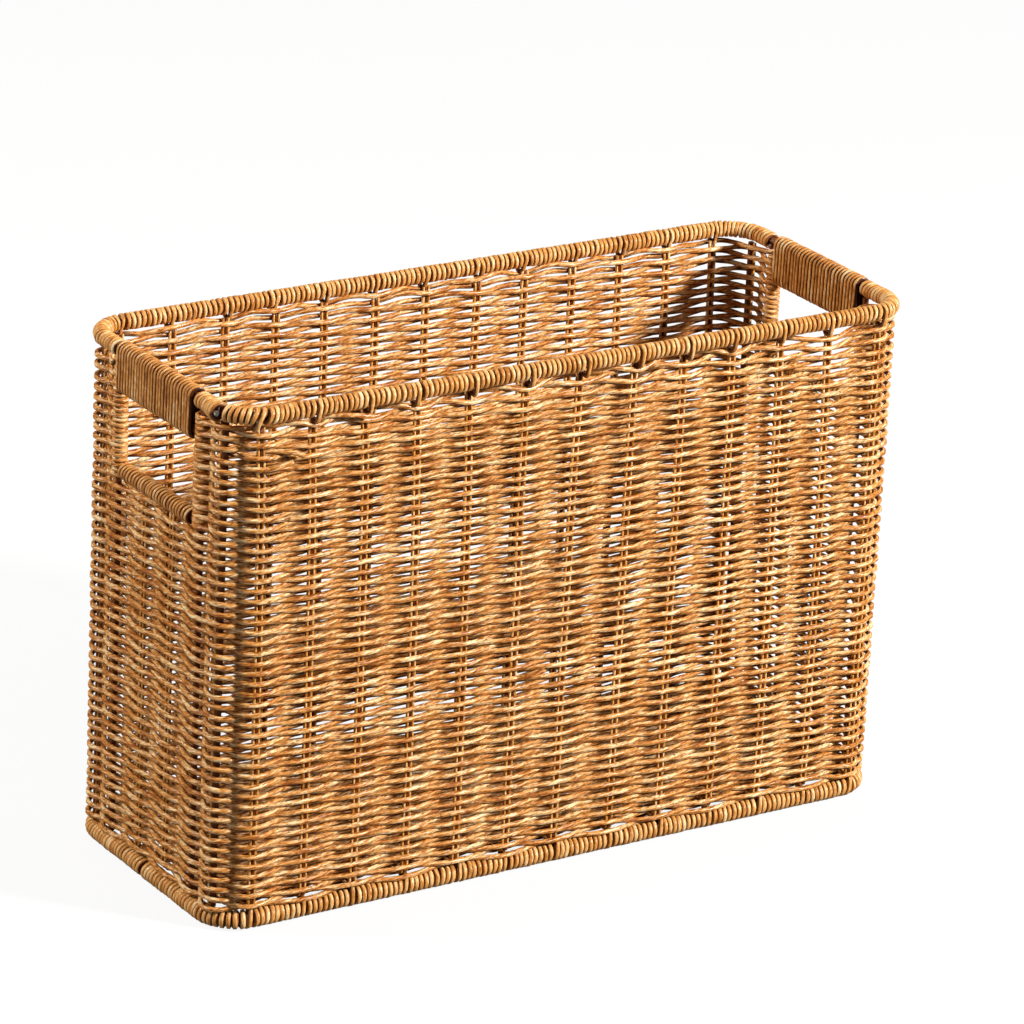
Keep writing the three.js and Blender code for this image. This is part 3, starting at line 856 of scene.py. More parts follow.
@dataclass(frozen=True)
class StakePlaces:
    """Where the rows cross uprights, once round the wall from the middle of the front.

    The walks are those at the foot. Towards the rim the stakes of the long sides lean over, each by its own
    distance.
    """

    walks: np.ndarray
    lean: np.ndarray
    reach: np.ndarray
    height: float

    FRONT_POST = 8
    BACK_MIDDLE = 19
    LEAN_POWER = 3
    FRONT_FOOT_MM = (0.0, -0.8, -1.4, -1.3, -1.4, -1.5, -2.2, 1.4, 1.6, 3.2, 3.4, 3.3, 2.8)
    FRONT_HEAD_MM = (-2.5, -4.0, -4.4, -5.2, -5.6, -2.4, -0.2, 1.8, 1.4, 0.4, -0.2, -0.4, 0.8)
    BACK_HEAD_MM = (0.0, 0.0, 0.7, 0.0, -1.8, -1.2, -0.9, 0.7, -0.5, -0.9, -1.5, -1.4, -2.3)

    @classmethod
    def from_frame(cls, plan: BasketPlan) -> "StakePlaces":
        """Reads the uprights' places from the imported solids.

        Args:
            plan: The basket's sizes.

        Returns:
            The walks of the uprights, with how far a row swings out at each.
        """
        wall = plan.wall
        half = wall.length / 2
        count = len(cls.FRONT_FOOT_MM)
        middles = np.array(sorted(cls.middle(f"cross_stake_{index + 1}").x for index in range(count)))
        foot = middles + np.array(cls.FRONT_FOOT_MM) * MM
        lean = (np.array(cls.FRONT_HEAD_MM) - np.array(cls.FRONT_FOOT_MM)) * MM
        back_lean = -np.array(cls.BACK_HEAD_MM[::-1]) * MM
        post = wall.walk_to_end(-cls.middle("right_front_handle_post").y)
        stake = wall.walk_to_end(-cls.middle("right_front_end_stake").y)
        corner = (middles[-1] + post) / 2
        end = np.array([corner, post, stake, half - stake, half - post, half - corner])
        still = np.zeros(len(end))
        split = count // 2
        thin = plan.stake_radius + plan.row_radius
        thick = plan.post_wire_radius + plan.row_radius
        end_reach = [thick, thick, thin, thin, thick, thick]
        walks = [foot[split:], end, half - middles[::-1], half + end, wall.length + foot[:split]]
        leans = [lean[split:], still, back_lean, still, lean[:split]]
        reaches = [[thin] * (count - split), end_reach, [thin] * count, end_reach, [thin] * split]
        return cls(np.concatenate(walks), np.concatenate(leans), np.concatenate(reaches), plan.height)

    @staticmethod
    def middle(node: str) -> Vector:
        """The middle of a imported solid's box."""
        low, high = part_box(node)
        return (low + high) / 2

    @property
    def total(self) -> int:
        """How many uprights stand round the wall."""
        return len(self.walks)

    @property
    def split(self) -> int:
        """How many stakes a long side has to each side of its middle one."""
        return len(self.FRONT_FOOT_MM) // 2

    def leaning(self, z: np.ndarray | float) -> np.ndarray | float:
        """How much of a stake's lean is reached at a height."""
        return np.clip(z / self.height, 0, 1) ** self.LEAN_POWER

    def swing(self, phase: np.ndarray, wall: PlanLoop, z: float) -> tuple[np.ndarray, np.ndarray]:
        """Walks and swings for phases, where each whole number is an upright.

        Args:
            phase: Places counted in uprights, which may pass once round.
            wall: The wall's middle line.
            z: The height.

        Returns:
            The walks, and how far a row swings out or in there.
        """
        index = np.arange(-self.total, 2 * self.total + 1)
        own = self.walks + self.lean * self.leaning(z)
        walks = own[index % self.total] + (index // self.total) * wall.length
        reach = self.reach[index % self.total]
        return np.interp(phase, index, walks), np.interp(phase, index, reach)


# Woven walls


@dataclass
class WallRows:
    """Single strands woven plain, in front of one upright and behind the next.

    Below the hand holes each row runs once round. Beside them one strand goes back and forth between the
    handle posts, and takes an extra turn round the post each time.
    """

    plan: BasketPlan
    uprights: StakePlaces
    material: bpy.types.Material
    rng: np.random.Generator
    samples: int = 10
    rows_per_band: int = 8
    joint_gap: float = 0.004
    drift_length: float = 90 * MM
    drift_height: float = 35 * MM
    height_drift: float = 0.28 * MM
    own_drift: float = 0.24 * MM
    own_length: float = 42 * MM
    kink: float = 0.13 * MM
    kink_length: float = 13 * MM
    lump: float = 0.07
    loose_rows: int = 5
    loose_drift: float = 0.5 * MM
    swing_drift: float = 0.10
    slack_walk: float = 141 * MM
    slack_length: float = 26 * MM
    corner_rise: float = 0.9 * MM
    back_rise: float = 0.9 * MM
    end_fullness: float = 0.06
    back_fullness: float = 0.06
    corner_bulge: float = 1.1 * MM
    turn_radius: float = 2.95 * MM
    tight_turn_radius: float = 2.65 * MM
    turn_samples: int = 30
    turns_back: float = 1.5
    blend_length: float = 9 * MM
    drifts: list[Drift] = field(default_factory=list)

    LEVELS_MM = (0, 14, 30, 50, 90, 130, 175, 212, 235, 250)
    LEVEL_SHIFTS_MM = (-0.6, -0.6, -1.0, -1.2, -0.5, 0.0, 0.3, -0.5, -0.9, -0.5)
    RIM_ROWS_MM = ((0.95, 1.0, 0.9), (1.05, 0.7, 0.6), (0.3, 0.4, 0.4), (0.2, 0.3, 0.3), (0.1, 0.2, 0.2))
    BASE_ROWS_MM = ((0.15, 0.35, 0.0), (-0.3, 0.2, 0.0), (-0.25, 0.1, 0.0), (-0.1, 0.0, 0.0))
    SWUNG = 2.3 * MM
    SLACK_RANGE = (0.9, 1.12)
    END_WALK = 158 * MM
    END_BLEND = 14 * MM
    END_REACH = 62 * MM

    def __post_init__(self) -> None:
        """Picks the unevenness that all rows share."""
        self.drifts = [Drift(self.rng, self.drift_length, self.drift_height) for _ in range(2)]

    def _from_end(self, walk: np.ndarray) -> np.ndarray:
        """How far places are from the middle of the nearer short end."""
        quarter = self.plan.wall.length / 4
        return np.abs(np.mod(walk, 2 * quarter) - quarter)

    def _from_back(self, walk: np.ndarray) -> np.ndarray:
        """How far places are from the middle of the back."""
        half = self.plan.wall.length / 2
        return np.abs(np.mod(walk, 2 * half) - half)

    def _level(self, row: int) -> float:
        """A row's height, with the rows a little closer here and there."""
        z = self.plan.row_z(row)
        return z + float(np.interp(z / MM, self.LEVELS_MM, self.LEVEL_SHIFTS_MM)) * MM

    def _pull(self, row: int, phase: np.ndarray, walk: np.ndarray) -> np.ndarray | float:
        """How far the last rows are drawn up to the rim between ties, and the first down to the base.

        Args:
            row: The row's number from the bottom.
            phase: Where its samples are, counted in uprights.
            walk: Their walks.

        Returns:
            What is added to the row's height.
        """
        from_top = self.plan.row_total - 1 - row
        from_base = row - self.plan.first_row
        outside = np.cos(math.pi * (phase + row))
        at_upright = np.cos(FULL_TURN * phase)
        quarter = self.plan.wall.length / 4
        if from_top < len(self.RIM_ROWS_MM):
            lift, rise, middle = (size * MM for size in self.RIM_ROWS_MM[from_top])
            tight = np.clip(np.abs(walk - self.slack_walk) / self.slack_length, 0, 1) ** 2
            tied = np.clip((self._from_end(walk) - quarter + self.END_WALK) / -self.END_BLEND + 1, 0, 1)
            drawn = lift * tight - rise * outside - middle * (at_upright * tight + 1 - tight)
            drawn = drawn + self.back_rise * (self._from_back(walk) < quarter) / (1 + from_top)
            return drawn * (1 - tied) + self.corner_rise * tied
        if from_base < len(self.BASE_ROWS_MM):
            lift, rise, middle = (size * MM for size in self.BASE_ROWS_MM[from_base])
            return lift - rise * outside - middle * at_upright
        return 0.0

    def _row(self, row: int, phase: np.ndarray) -> tuple:
        """One row between two phases.

        Args:
            row: The row's number from the bottom.
            phase: Where its samples are, counted in uprights.

        Returns:
            Walks, outward places, heights, radii and the sides seen, along the walk and outward.
        """
        z = self._level(row)
        walk, reach = self.uprights.swing(phase, self.plan.wall, z)
        shape, tilt = (drift(walk, z) for drift in self.drifts)
        own = Drift(self.rng, self.own_length)(walk)
        kink, bow, lump = (Drift(self.rng, self.kink_length)(walk) for _ in range(3))
        outward = reach * np.cos(math.pi * (phase + row)) * (1 + self.swing_drift * tilt)
        outward += self.corner_bulge * self._at_corner(walk) * np.clip(outward / reach, 0, 1)
        loose = max(0, row - (self.plan.row_total - 1 - self.loose_rows)) / self.loose_rows
        height = z + self.height_drift * shape + (self.own_drift + loose * self.loose_drift) * own
        height += self.kink * kink + self._pull(row, phase, walk)
        at_end = np.clip(1 - (self._from_end(walk) - self.END_REACH) / self.END_BLEND, 0, 1)
        behind = self._from_back(walk) < self.END_WALK
        fullness = np.maximum(self.end_fullness * at_end, self.back_fullness * behind)
        radius = self.plan.row_radius * (1 + self.lump * lump + fullness)
        # The seen direction turns inward on the passes behind the uprights, so these passes get painted
        # shade.
        swung = np.clip(outward / self.SWUNG, -1, 1) ** 3
        return walk, outward + self.kink * bow, height, radius, np.zeros_like(walk), swung

    def _at_corner(self, walk: np.ndarray) -> np.ndarray:
        """How near places are to the middle of a corner.

        Args:
            walk: Their walks.

        Returns:
            1 in the middle of a corner, falling to 0 half an arc past its ends.
        """
        arc = self.plan.wall.radius * QUARTER_TURN
        from_middle = self._from_end(walk) - self.plan.wall.straight_y - arc / 2
        return np.clip(1 - from_middle**2 / arc**2, 0, 1)

    def _lay(self, lines: list[tuple]) -> Strand:
        """Joins stretches into one strand.

        Args:
            lines: Each stretch's columns, as _row gives them.

        Returns:
            The strand.
        """
        columns = [np.concatenate(column) for column in zip(*lines, strict=True)]
        walk, outward, height, radius, along, out = columns
        wall = self.plan.wall
        seen = wall.forward(walk) * along[:, None] + wall.facing_out(walk) * out[:, None]
        return Strand(wall.at(walk, outward, height), radius, np.array(UP), seen, Clean.OPEN)

    def ring(self, row: int) -> Strand:
        """A row once round, with its ends meeting behind an upright.

        Args:
            row: The row's number from the bottom.

        Returns:
            The strand.
        """
        total = self.uprights.total
        joint = 2 * int(self.rng.integers(total // 2)) + (row + 1) % 2
        phase = np.linspace(joint + self.joint_gap, joint + total - self.joint_gap, total * self.samples + 1)
        return self._lay([self._row(row, phase)])

    def _post_walk(self, post: float) -> float:
        """The walk of an upright's foot."""
        return float(self.uprights.swing(np.array([float(post)]), self.plan.wall, 0.0)[0][0])

    def _turn_back(self, row: int, post: float, towards: int) -> tuple:
        """The turns round a handle post from a row to the next.

        Args:
            row: The row that arrives.
            post: The post's walk.
            towards: The sign of the walk on arrival.

        Returns:
            Columns as _row gives them.
        """
        middle = (self._level(row) + self._level(row + 1)) / 2
        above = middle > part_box("left_grip_wrap")[0].z
        radius = self.tight_turn_radius if above else self.turn_radius
        angle = np.linspace(0, self.turns_back * FULL_TURN, self.turn_samples + 1)
        along = towards * np.sin(angle)
        out = self._side_at_post(row) * np.cos(angle)
        height = middle + (angle / FULL_TURN - self.turns_back / 2) * self.plan.row_pitch
        thick = np.full(len(angle), self.plan.row_radius)
        return post + radius * along, radius * out, height, thick, along, out

    def _side_at_post(self, row: int) -> int:
        """1 where a row passes outside the handle posts, and -1 where it passes inside."""
        return 1 if row % 2 == 0 else -1

    def _stretch(self, row: int, first: float, last: float) -> tuple:
        """A row between two handle posts, led into the turns at its ends.

        Args:
            row: The row's number from the bottom.
            first: The post that it comes from, counted in uprights.
            last: The post that it goes to.

        Returns:
            Columns as _row gives them.
        """
        count = round(abs(last - first)) * self.samples
        phase = np.linspace(first, last, count + 1)[1:-1]
        walk, outward, height, radius, along, out = self._row(row, phase)
        for post, sign in ((first, -1), (last, 1)):
            near = smooth(np.clip(1 - np.abs(walk - self._post_walk(post)) / self.blend_length, 0, 1))
            level = self._level(row) - sign * self.plan.row_pitch / 4
            height = height * (1 - near) + level * near
            slack = np.clip(self.turn_radius / np.maximum(np.abs(outward), TINY), *self.SLACK_RANGE)
            outward = outward * (1 - near) + outward * slack * near
        return walk, outward, height, radius, along, out

    def upper(self, side: Side) -> Strand:
        """The strand that goes back and forth between the handle posts of one side.

        Args:
            side: The long side.

        Returns:
            The strand.
        """
        middle = 0 if side is Side.FRONT else self.uprights.total // 2
        reach = self.uprights.FRONT_POST
        lines = []
        towards = 1
        for row in range(self.plan.ring_row_total, self.plan.row_total):
            first, last = middle - towards * reach, middle + towards * reach
            lines.append(self._stretch(row, first, last))
            if row < self.plan.row_total - 1:
                lines.append(self._turn_back(row, self._post_walk(last), towards))
            towards = -towards
        return self._lay(lines)

    def build(self) -> None:
        """Makes all the rows."""
        maker = Maker(self.material, Slot.WEAVE, self.rng)
        sides = [f"{side.word}_weave" for side in Side]
        corners = [f"{side.word}_{end.word}_corner_weave" for side in Side for end in End]
        ends = [f"{end.word}_end_weave" for end in End]
        last = self.plan.ring_row_total
        for band, start in enumerate(range(self.plan.first_row, last, self.rows_per_band)):
            rows = range(start, min(start + self.rows_per_band, last))
            maker.make(f"wall_rows_{band + 1}", (self.ring(row) for row in rows), sides + corners + ends)
        for side in Side:
            jambs = [f"{end.word}_{side.word}_jamb_wrap" for end in End]
            own = [f"{side.word}_weave", *(f"{side.word}_{end.word}_corner_weave" for end in End)]
            maker.make(f"{side.word}_upper_rows", [self.upper(side)], own + jambs)


@dataclass
class LooseEnds:
    """Ends of strands that stand out from the weave where a new strand was laid in."""

    plan: BasketPlan
    material: bpy.types.Material
    rng: np.random.Generator
    samples: int = 28
    smoothing: int = 7

    ENDS_MM = {
        "raised_end": (
            (-174, -67.5, 228.0), (-169.5, -70.8, 228.8), (-164.5, -73.3, 230.3), (-156.5, -73.2, 231.9),
        ),
        "laid_end": (
            (-172, -66.5, 236.8), (-167, -69, 237.2), (-160, -72.4, 236.9), (-154.6, -73.6, 235.8),
            (-150.8, -73.7, 233.6),
        ),
        "tied_end": (
            (-141, -67.5, 249.6), (-136, -70.4, 249.8), (-130, -72.4, 249.9), (-124, -73.6, 248.9),
            (-116.6, -73.8, 247.9),
        ),
        "lower_end": (
            (-34, -67.5, 100.4), (-29, -70.6, 101.0), (-24, -72.6, 101.8), (-18, -73.4, 103.2),
            (-14.5, -73.2, 103.6),
        ),
    }

    def _line(self, corners_mm: tuple) -> np.ndarray:
        """A smooth line past some corners.

        Args:
            corners_mm: The corners.

        Returns:
            Its places, evenly spread.
        """
        corners = np.array(corners_mm) * MM
        walked = np.concatenate([[0.0], np.cumsum(np.linalg.norm(np.diff(corners, axis=0), axis=1))])
        steps = np.linspace(0, walked[-1], self.samples)
        line = np.stack([np.interp(steps, walked, column) for column in corners.T], -1)
        padded = np.pad(line, ((self.smoothing // 2, self.smoothing // 2), (0, 0)), mode="edge")
        weights = np.full(self.smoothing, 1 / self.smoothing)
        return np.stack([np.convolve(column, weights, mode="valid") for column in padded.T], -1)

    def build(self) -> None:
        """Makes the ends."""
        maker = Maker(self.material, Slot.WEAVE, self.rng)
        outward = np.array([0.0, -1.0, 0.0])
        for name, corners_mm in self.ENDS_MM.items():
            line = self._line(corners_mm)
            maker.make(name, [Strand(line, self.plan.row_radius, np.array(UP), outward, Clean.OPEN)], [])


# Stakes


@dataclass
class Stakes:
    """Pairs of thin strands: across the bottom and up both sides, and up the ends."""

    plan: BasketPlan
    uprights: StakePlaces
    material: bpy.types.Material
    core: bpy.types.Material
    rng: np.random.Generator
    ribbed: float = 0.5
    bend_radius: float = 3.2 * MM
    bend_steps: int = 6
    step: float = 6 * MM
    drift: float = 0.18 * MM
    drift_length: float = 80 * MM
    top_gap: float = 0.6 * MM
    corner_walk: float = 187.7 * MM

    def _polyline(self, corners: list[tuple[float, float]]) -> np.ndarray:
        """A line through corners with rounded bends, in a plane.

        Args:
            corners: The corners, each with its two measures in that plane.

        Returns:
            Its places.
        """
        points = [np.array(corners[0])]
        for before, corner, after in zip(corners, corners[1:], corners[2:], strict=False):
            at = np.array(corner)
            back = unit(np.array(before) - at)
            on = unit(np.array(after) - at)
            for step in range(self.bend_steps + 1):
                share = step / self.bend_steps
                start = at + back * self.bend_radius * (1 - share) ** 2
                points.append(start + on * self.bend_radius * share**2)
        points.append(np.array(corners[-1]))
        return self._evened(np.array(points))

    def _evened(self, points: np.ndarray) -> np.ndarray:
        """Cuts long stretches into steps.

        Args:
            points: A line's places.

        Returns:
            The line with more places.
        """
        made = [points[:1]]
        for start, end in zip(points[:-1], points[1:], strict=True):
            count = max(1, math.ceil(float(np.linalg.norm(end - start)) / self.step))
            share = np.arange(1, count + 1)[:, None] / count
            made.append(start + (end - start) * share)
        return np.concatenate(made)

    def _laid(self, points: np.ndarray, sideways: np.ndarray, radius: float) -> Strand:
        """A strand that is seen from both of its broad sides."""
        seen = unit(np.cross(np.gradient(points, axis=0), sideways))
        return Strand(points, radius, sideways, seen, Clean.BROAD)

    def _triple(self, name: str, line: np.ndarray, sideways: np.ndarray, node: str) -> None:
        """Makes a stake: two light strands with a thinner, very dark one between them, which stands for a
        guessed middle strand and paints the shade in the gap between the pair.

        Args:
            name: The piece's name.
            line: The stake's middle line.
            sideways: The direction in which the strands lie side by side.
            node: The solid that it stands for.
        """
        pair = (self._one_of_pair(line, sideways, sign) for sign in (-1, 1))
        Maker(self.material, Slot.STAKE, self.rng, self.ribbed).make(f"{name}_pair", pair, [node])
        # The very dark middle strand paints the shade in the gap between the pair.
        core = self._laid(line, sideways, self.plan.stake_core_radius)
        Maker(self.core, Slot.STAKE, self.rng, self.ribbed).make(f"{name}_core", [core], [node])

    def _one_of_pair(self, line: np.ndarray, sideways: np.ndarray, sign: int) -> Strand:
        """One light strand of a stake, which wanders a little.

        Args:
            line: The stake's middle line.
            sideways: The direction in which the strands lie side by side.
            sign: 1 or -1 for the strand's side.

        Returns:
            The strand.
        """
        wander = Drift(self.rng, self.drift_length)(np.arange(len(line)) * self.step) * self.drift
        shift = sign * self.plan.stake_half_pair + wander
        return self._laid(line + sideways * shift[:, None], sideways, self.plan.stake_radius)

    def _beside_post(self, side: Side, end: End) -> Strand:
        """The strand that stands beside a corner post, towards the end.

        Args:
            side: The post's long side.
            end: The post's short end.

        Returns:
            The strand.
        """
        low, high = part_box(f"{side.word}_{end.word}_corner_post")
        half = self.plan.wall.length / 2
        walk = self.corner_walk + self.plan.post_wire_radius + self.plan.stake_radius
        walk = walk if end is End.RIGHT else -walk
        walk = walk if side is Side.FRONT else half - walk
        z = np.arange(float(low.z), float(high.z), self.step)
        walks = np.full(len(z), walk)
        points = self.plan.wall.at(walks, 0.0, z)
        return self._laid(points, self.plan.wall.forward(walks), self.plan.stake_radius)

    def _cross(self, number: int) -> np.ndarray:
        """The middle line of a stake down the front, across the bottom and up the back.

        Args:
            number: The stake's number from the left.

        Returns:
            The line's places.
        """
        low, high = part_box("cross_stake_1")
        y = self.plan.wall.half_width
        z = float(low.z) + self.plan.stake_radius
        top = float(high.z) - self.top_gap
        line = self._polyline([(-y, top), (-y, z), (y, z), (y, top)])
        places = self.uprights
        half = self.plan.wall.length / 2
        from_middle = number - places.split
        front = from_middle % places.total
        back = places.BACK_MIDDLE - from_middle
        front_foot = places.walks[front] - (2 * half if from_middle < 0 else 0)
        back_foot = half - places.walks[back]
        over = places.leaning(line[:, 1])
        share = np.clip((line[:, 0] + y) / (2 * y), 0, 1)
        x = front_foot * (1 - share) + back_foot * share
        x += np.where(line[:, 0] < 0, places.lean[front], -places.lean[back]) * over
        return np.stack([x, line[:, 0], line[:, 1]], -1)

    def _end(self, end: End, y: float) -> np.ndarray:
        """The middle line of a stake up one end, with its foot on the base ring.

        Args:
            end: The short end.
            y: Its place across the width.

        Returns:
            The line's places.
        """
        low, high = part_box(f"{end.word}_front_end_stake")
        x = end.value * self.plan.wall.half_length
        foot = float(high.x) if end is End.LEFT else float(low.x)
        z = float(low.z) + self.plan.stake_radius
        line = self._polyline([(x, float(high.z)), (x, z), (foot, z)])
        return np.stack([line[:, 0], np.full(len(line), y), line[:, 1]], -1)

    def build(self) -> None:
        """Makes the stakes and the strands beside the corner posts."""
        beside = Maker(self.material, Slot.STAKE, self.rng)
        count = len(self.uprights.FRONT_FOOT_MM)
        boxes = {f"cross_stake_{index + 1}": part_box(f"cross_stake_{index + 1}") for index in range(count)}
        ordered = sorted(boxes, key=lambda node: boxes[node][0].x)
        for number, node in enumerate(ordered):
            self._triple(node, self._cross(number), np.array([1.0, 0.0, 0.0]), node)
        for end in End:
            for side in Side:
                node = f"{end.word}_{side.word}_end_stake"
                line = self._end(end, StakePlaces.middle(node).y)
                self._triple(node, line, np.array([0.0, 1.0, 0.0]), node)
                beside.make(f"{side.word}_{end.word}_corner_strand", [self._beside_post(side, end)], [])


# Windings


@dataclass(frozen=True)
class Skew:
    """A place where some turns of a winding lie askew, part to leave a gap, or swell before it."""

    walk: float
    spread: float = 6 * MM
    lean: float = 0.0
    parting: float = 0.0
    swell: float = 0.0


def uneven_shares(turns: int, drift: float, rng: np.random.Generator) -> np.ndarray:
    """Shares of a winding's length at which its turns begin, from 0 to 1.

    Args:
        turns: How many turns it has.
        drift: How uneven they are.
        rng: Where the unevenness comes from.

    Returns:
        One share more than there are turns.
    """
    share = np.cumsum(np.concatenate([[0.0], 1 + drift * rng.standard_normal(turns)]))
    return share / share[-1]


def turn_drift(turn: np.ndarray, turns: int, rng: np.random.Generator) -> np.ndarray:
    """Unevenness that changes from turn to turn, read at places counted in turns."""
    return np.interp(turn, np.arange(turns + 1), rng.standard_normal(turns + 1))


@dataclass
class RingWinding:
    """A strand wound round the rim wire or the base wire.

    Beside each stake one turn is longer than the rest: it reaches down over the first row and binds the ring
    to the wall.
    """

    name: str
    loop: PlanLoop
    z: float
    towards: float
    pitch: float
    start: float
    end: float
    ties: list[float]
    skews: list[Skew]
    nodes: list[str]
    tie_drop: float = 4.9 * MM
    outer_radius: float = 4.3 * MM
    strand_radius: float = 1.26 * MM
    samples: int = 16
    mark_samples: int = 4096
    start_angle: float = -2.47
    pitch_drift: float = 0.05
    lean_drift: float = 0.10
    radius_drift: float = 0.06
    lift_drift: float = 0.14 * MM
    tie_parting: float = 0.8 * MM
    tie_thin: float = 0.85
    crossing_share: float = 0.3
    corner_squeeze: float = 0.9
    inner_squeeze: float = 0.2
    swell_length: float = 17 * MM
    swell_past: float = 1.05
    swell_yaw: float = 0.3

    TIE_SHAPE = 0.45
    TIE_FULLNESS = 0.5
    THICK_RANGE = (-1.5, 0.8)
    LIFT_RANGE = (-1, 0.6)

    def _in_corner(self, walk: np.ndarray) -> np.ndarray:
        """1 in the corners of the loop and 0 on its straight parts."""
        knots = self.loop.knots()
        return (np.searchsorted(knots, np.mod(walk, knots[-1]), side="right") - 1) % 2

    def _even_marks(self, usable: float, rng: np.random.Generator) -> np.ndarray:
        """Marks over a length, closer together in the corners.

        Args:
            usable: The length.
            rng: Where their unevenness comes from.

        Returns:
            The walks of the marks.
        """
        walk = np.linspace(self.start, self.start + usable, self.mark_samples)
        density = 1 / (1 - (1 - self.corner_squeeze) * self._in_corner(walk))
        gone = np.concatenate([[0.0], np.cumsum((density[1:] + density[:-1]) / 2 * np.diff(walk))])
        turns = round(gone[-1] / self.pitch)
        share = uneven_shares(turns, self.pitch_drift, rng)
        return np.interp(share * gone[-1], gone, walk)

    def _marks(self, rng: np.random.Generator) -> np.ndarray:
        """Where the turns begin.

        Args:
            rng: Where their unevenness comes from.

        Returns:
            The walks, opened where turns part.
        """
        partings = [Skew(walk, parting=self.tie_parting) for walk in self.ties]
        partings += [skew for skew in self.skews if skew.parting]
        opened = sum(parting.parting for parting in partings)
        marks = self._even_marks(self.end - self.start - opened, rng)
        for parting in sorted(partings, key=lambda one: one.walk):
            marks[marks > parting.walk - parting.parting / 2] += parting.parting
        return marks

    def strand(self, rng: np.random.Generator) -> Strand:
        """The winding from its start to its end.

        Args:
            rng: Where its unevenness comes from.

        Returns:
            The strand.
        """
        marks = self._marks(rng)
        turns = len(marks) - 1
        turn = np.linspace(0, turns, turns * self.samples + 1)
        whole = np.minimum(turn.astype(int), turns - 1)
        gone = turn - whole
        steps = np.diff(marks)
        extra = np.maximum(steps - self.pitch * (1 + 2 * self.pitch_drift), 0)
        late = smooth(np.clip((gone - 1 + self.crossing_share) / self.crossing_share, 0, 1))
        walk = marks[whole] + gone * (steps - extra)[whole] + late * extra[whole]
        angle = FULL_TURN * turn + self.start_angle
        lean, lift, thick = (turn_drift(turn, turns, rng) for _ in range(3))
        lean = self.lean_drift * self.pitch * lean
        for skew in self.skews:
            lean = lean + skew.lean * np.exp(-(((walk - skew.walk) / skew.spread) ** 2))
        walk = walk + lean * np.sin(angle)
        radius = self.strand_radius * (1 + self.radius_drift * np.clip(thick, *self.THICK_RANGE))
        lift = self.lift_drift * np.clip(np.abs(lift) - 1, *self.LIFT_RANGE)
        reach = self.outer_radius - self.strand_radius + lift
        corner = self._in_corner(walk)
        radius = radius * (1 - self.inner_squeeze * corner * np.clip(-np.cos(angle), 0, 1))
        for skew in self.skews:
            before = (walk - skew.walk) / self.swell_length + 1
            swollen = np.where((before > 0) & (before < self.swell_past), before, 0.0) ** 2
            swollen = skew.swell * swollen * np.clip(np.cos(angle), 0, 1)
            reach = reach + swollen
            walk = walk - self.swell_yaw * swollen
        outward = reach * np.cos(angle)
        upward = reach * np.sin(angle)
        low = np.maximum(self.towards * np.sin(angle), 0)
        # The seen directions drive the painted shade: the sides of each turn that face the wire and the
        # neighbouring turns get it.
        seen_outward = np.cos(angle)
        seen_upward = np.sin(angle)
        for tie in self.ties:
            chosen = int(np.argmin(np.abs(marks - tie)))
            share = np.where(whole == chosen, np.sin(math.pi * gone) ** self.TIE_FULLNESS, 0.0) * low
            upward = upward + share * self.tie_drop * self.towards
            boxy = np.sign(outward) * reach * np.abs(np.cos(angle)) ** self.TIE_SHAPE
            outward = outward + share * (boxy - outward)
            radius = radius * (1 - (1 - self.tie_thin) * share)
            flat = np.sign(outward) * np.abs(np.cos(angle)) ** self.TIE_SHAPE
            seen_outward = seen_outward + share * (flat - seen_outward)
            seen_upward = seen_upward * (1 - share)
        seen = self.loop.facing_out(walk) * seen_outward[:, None] + np.array(UP) * seen_upward[:, None]
        return Strand(self.loop.at(walk, outward, self.z + upward), radius, self.loop.forward(walk), seen)

    def build(self, maker: Maker) -> None:
        """Makes the winding."""
        maker.make(self.name, [self.strand(maker.rng)], self.nodes)


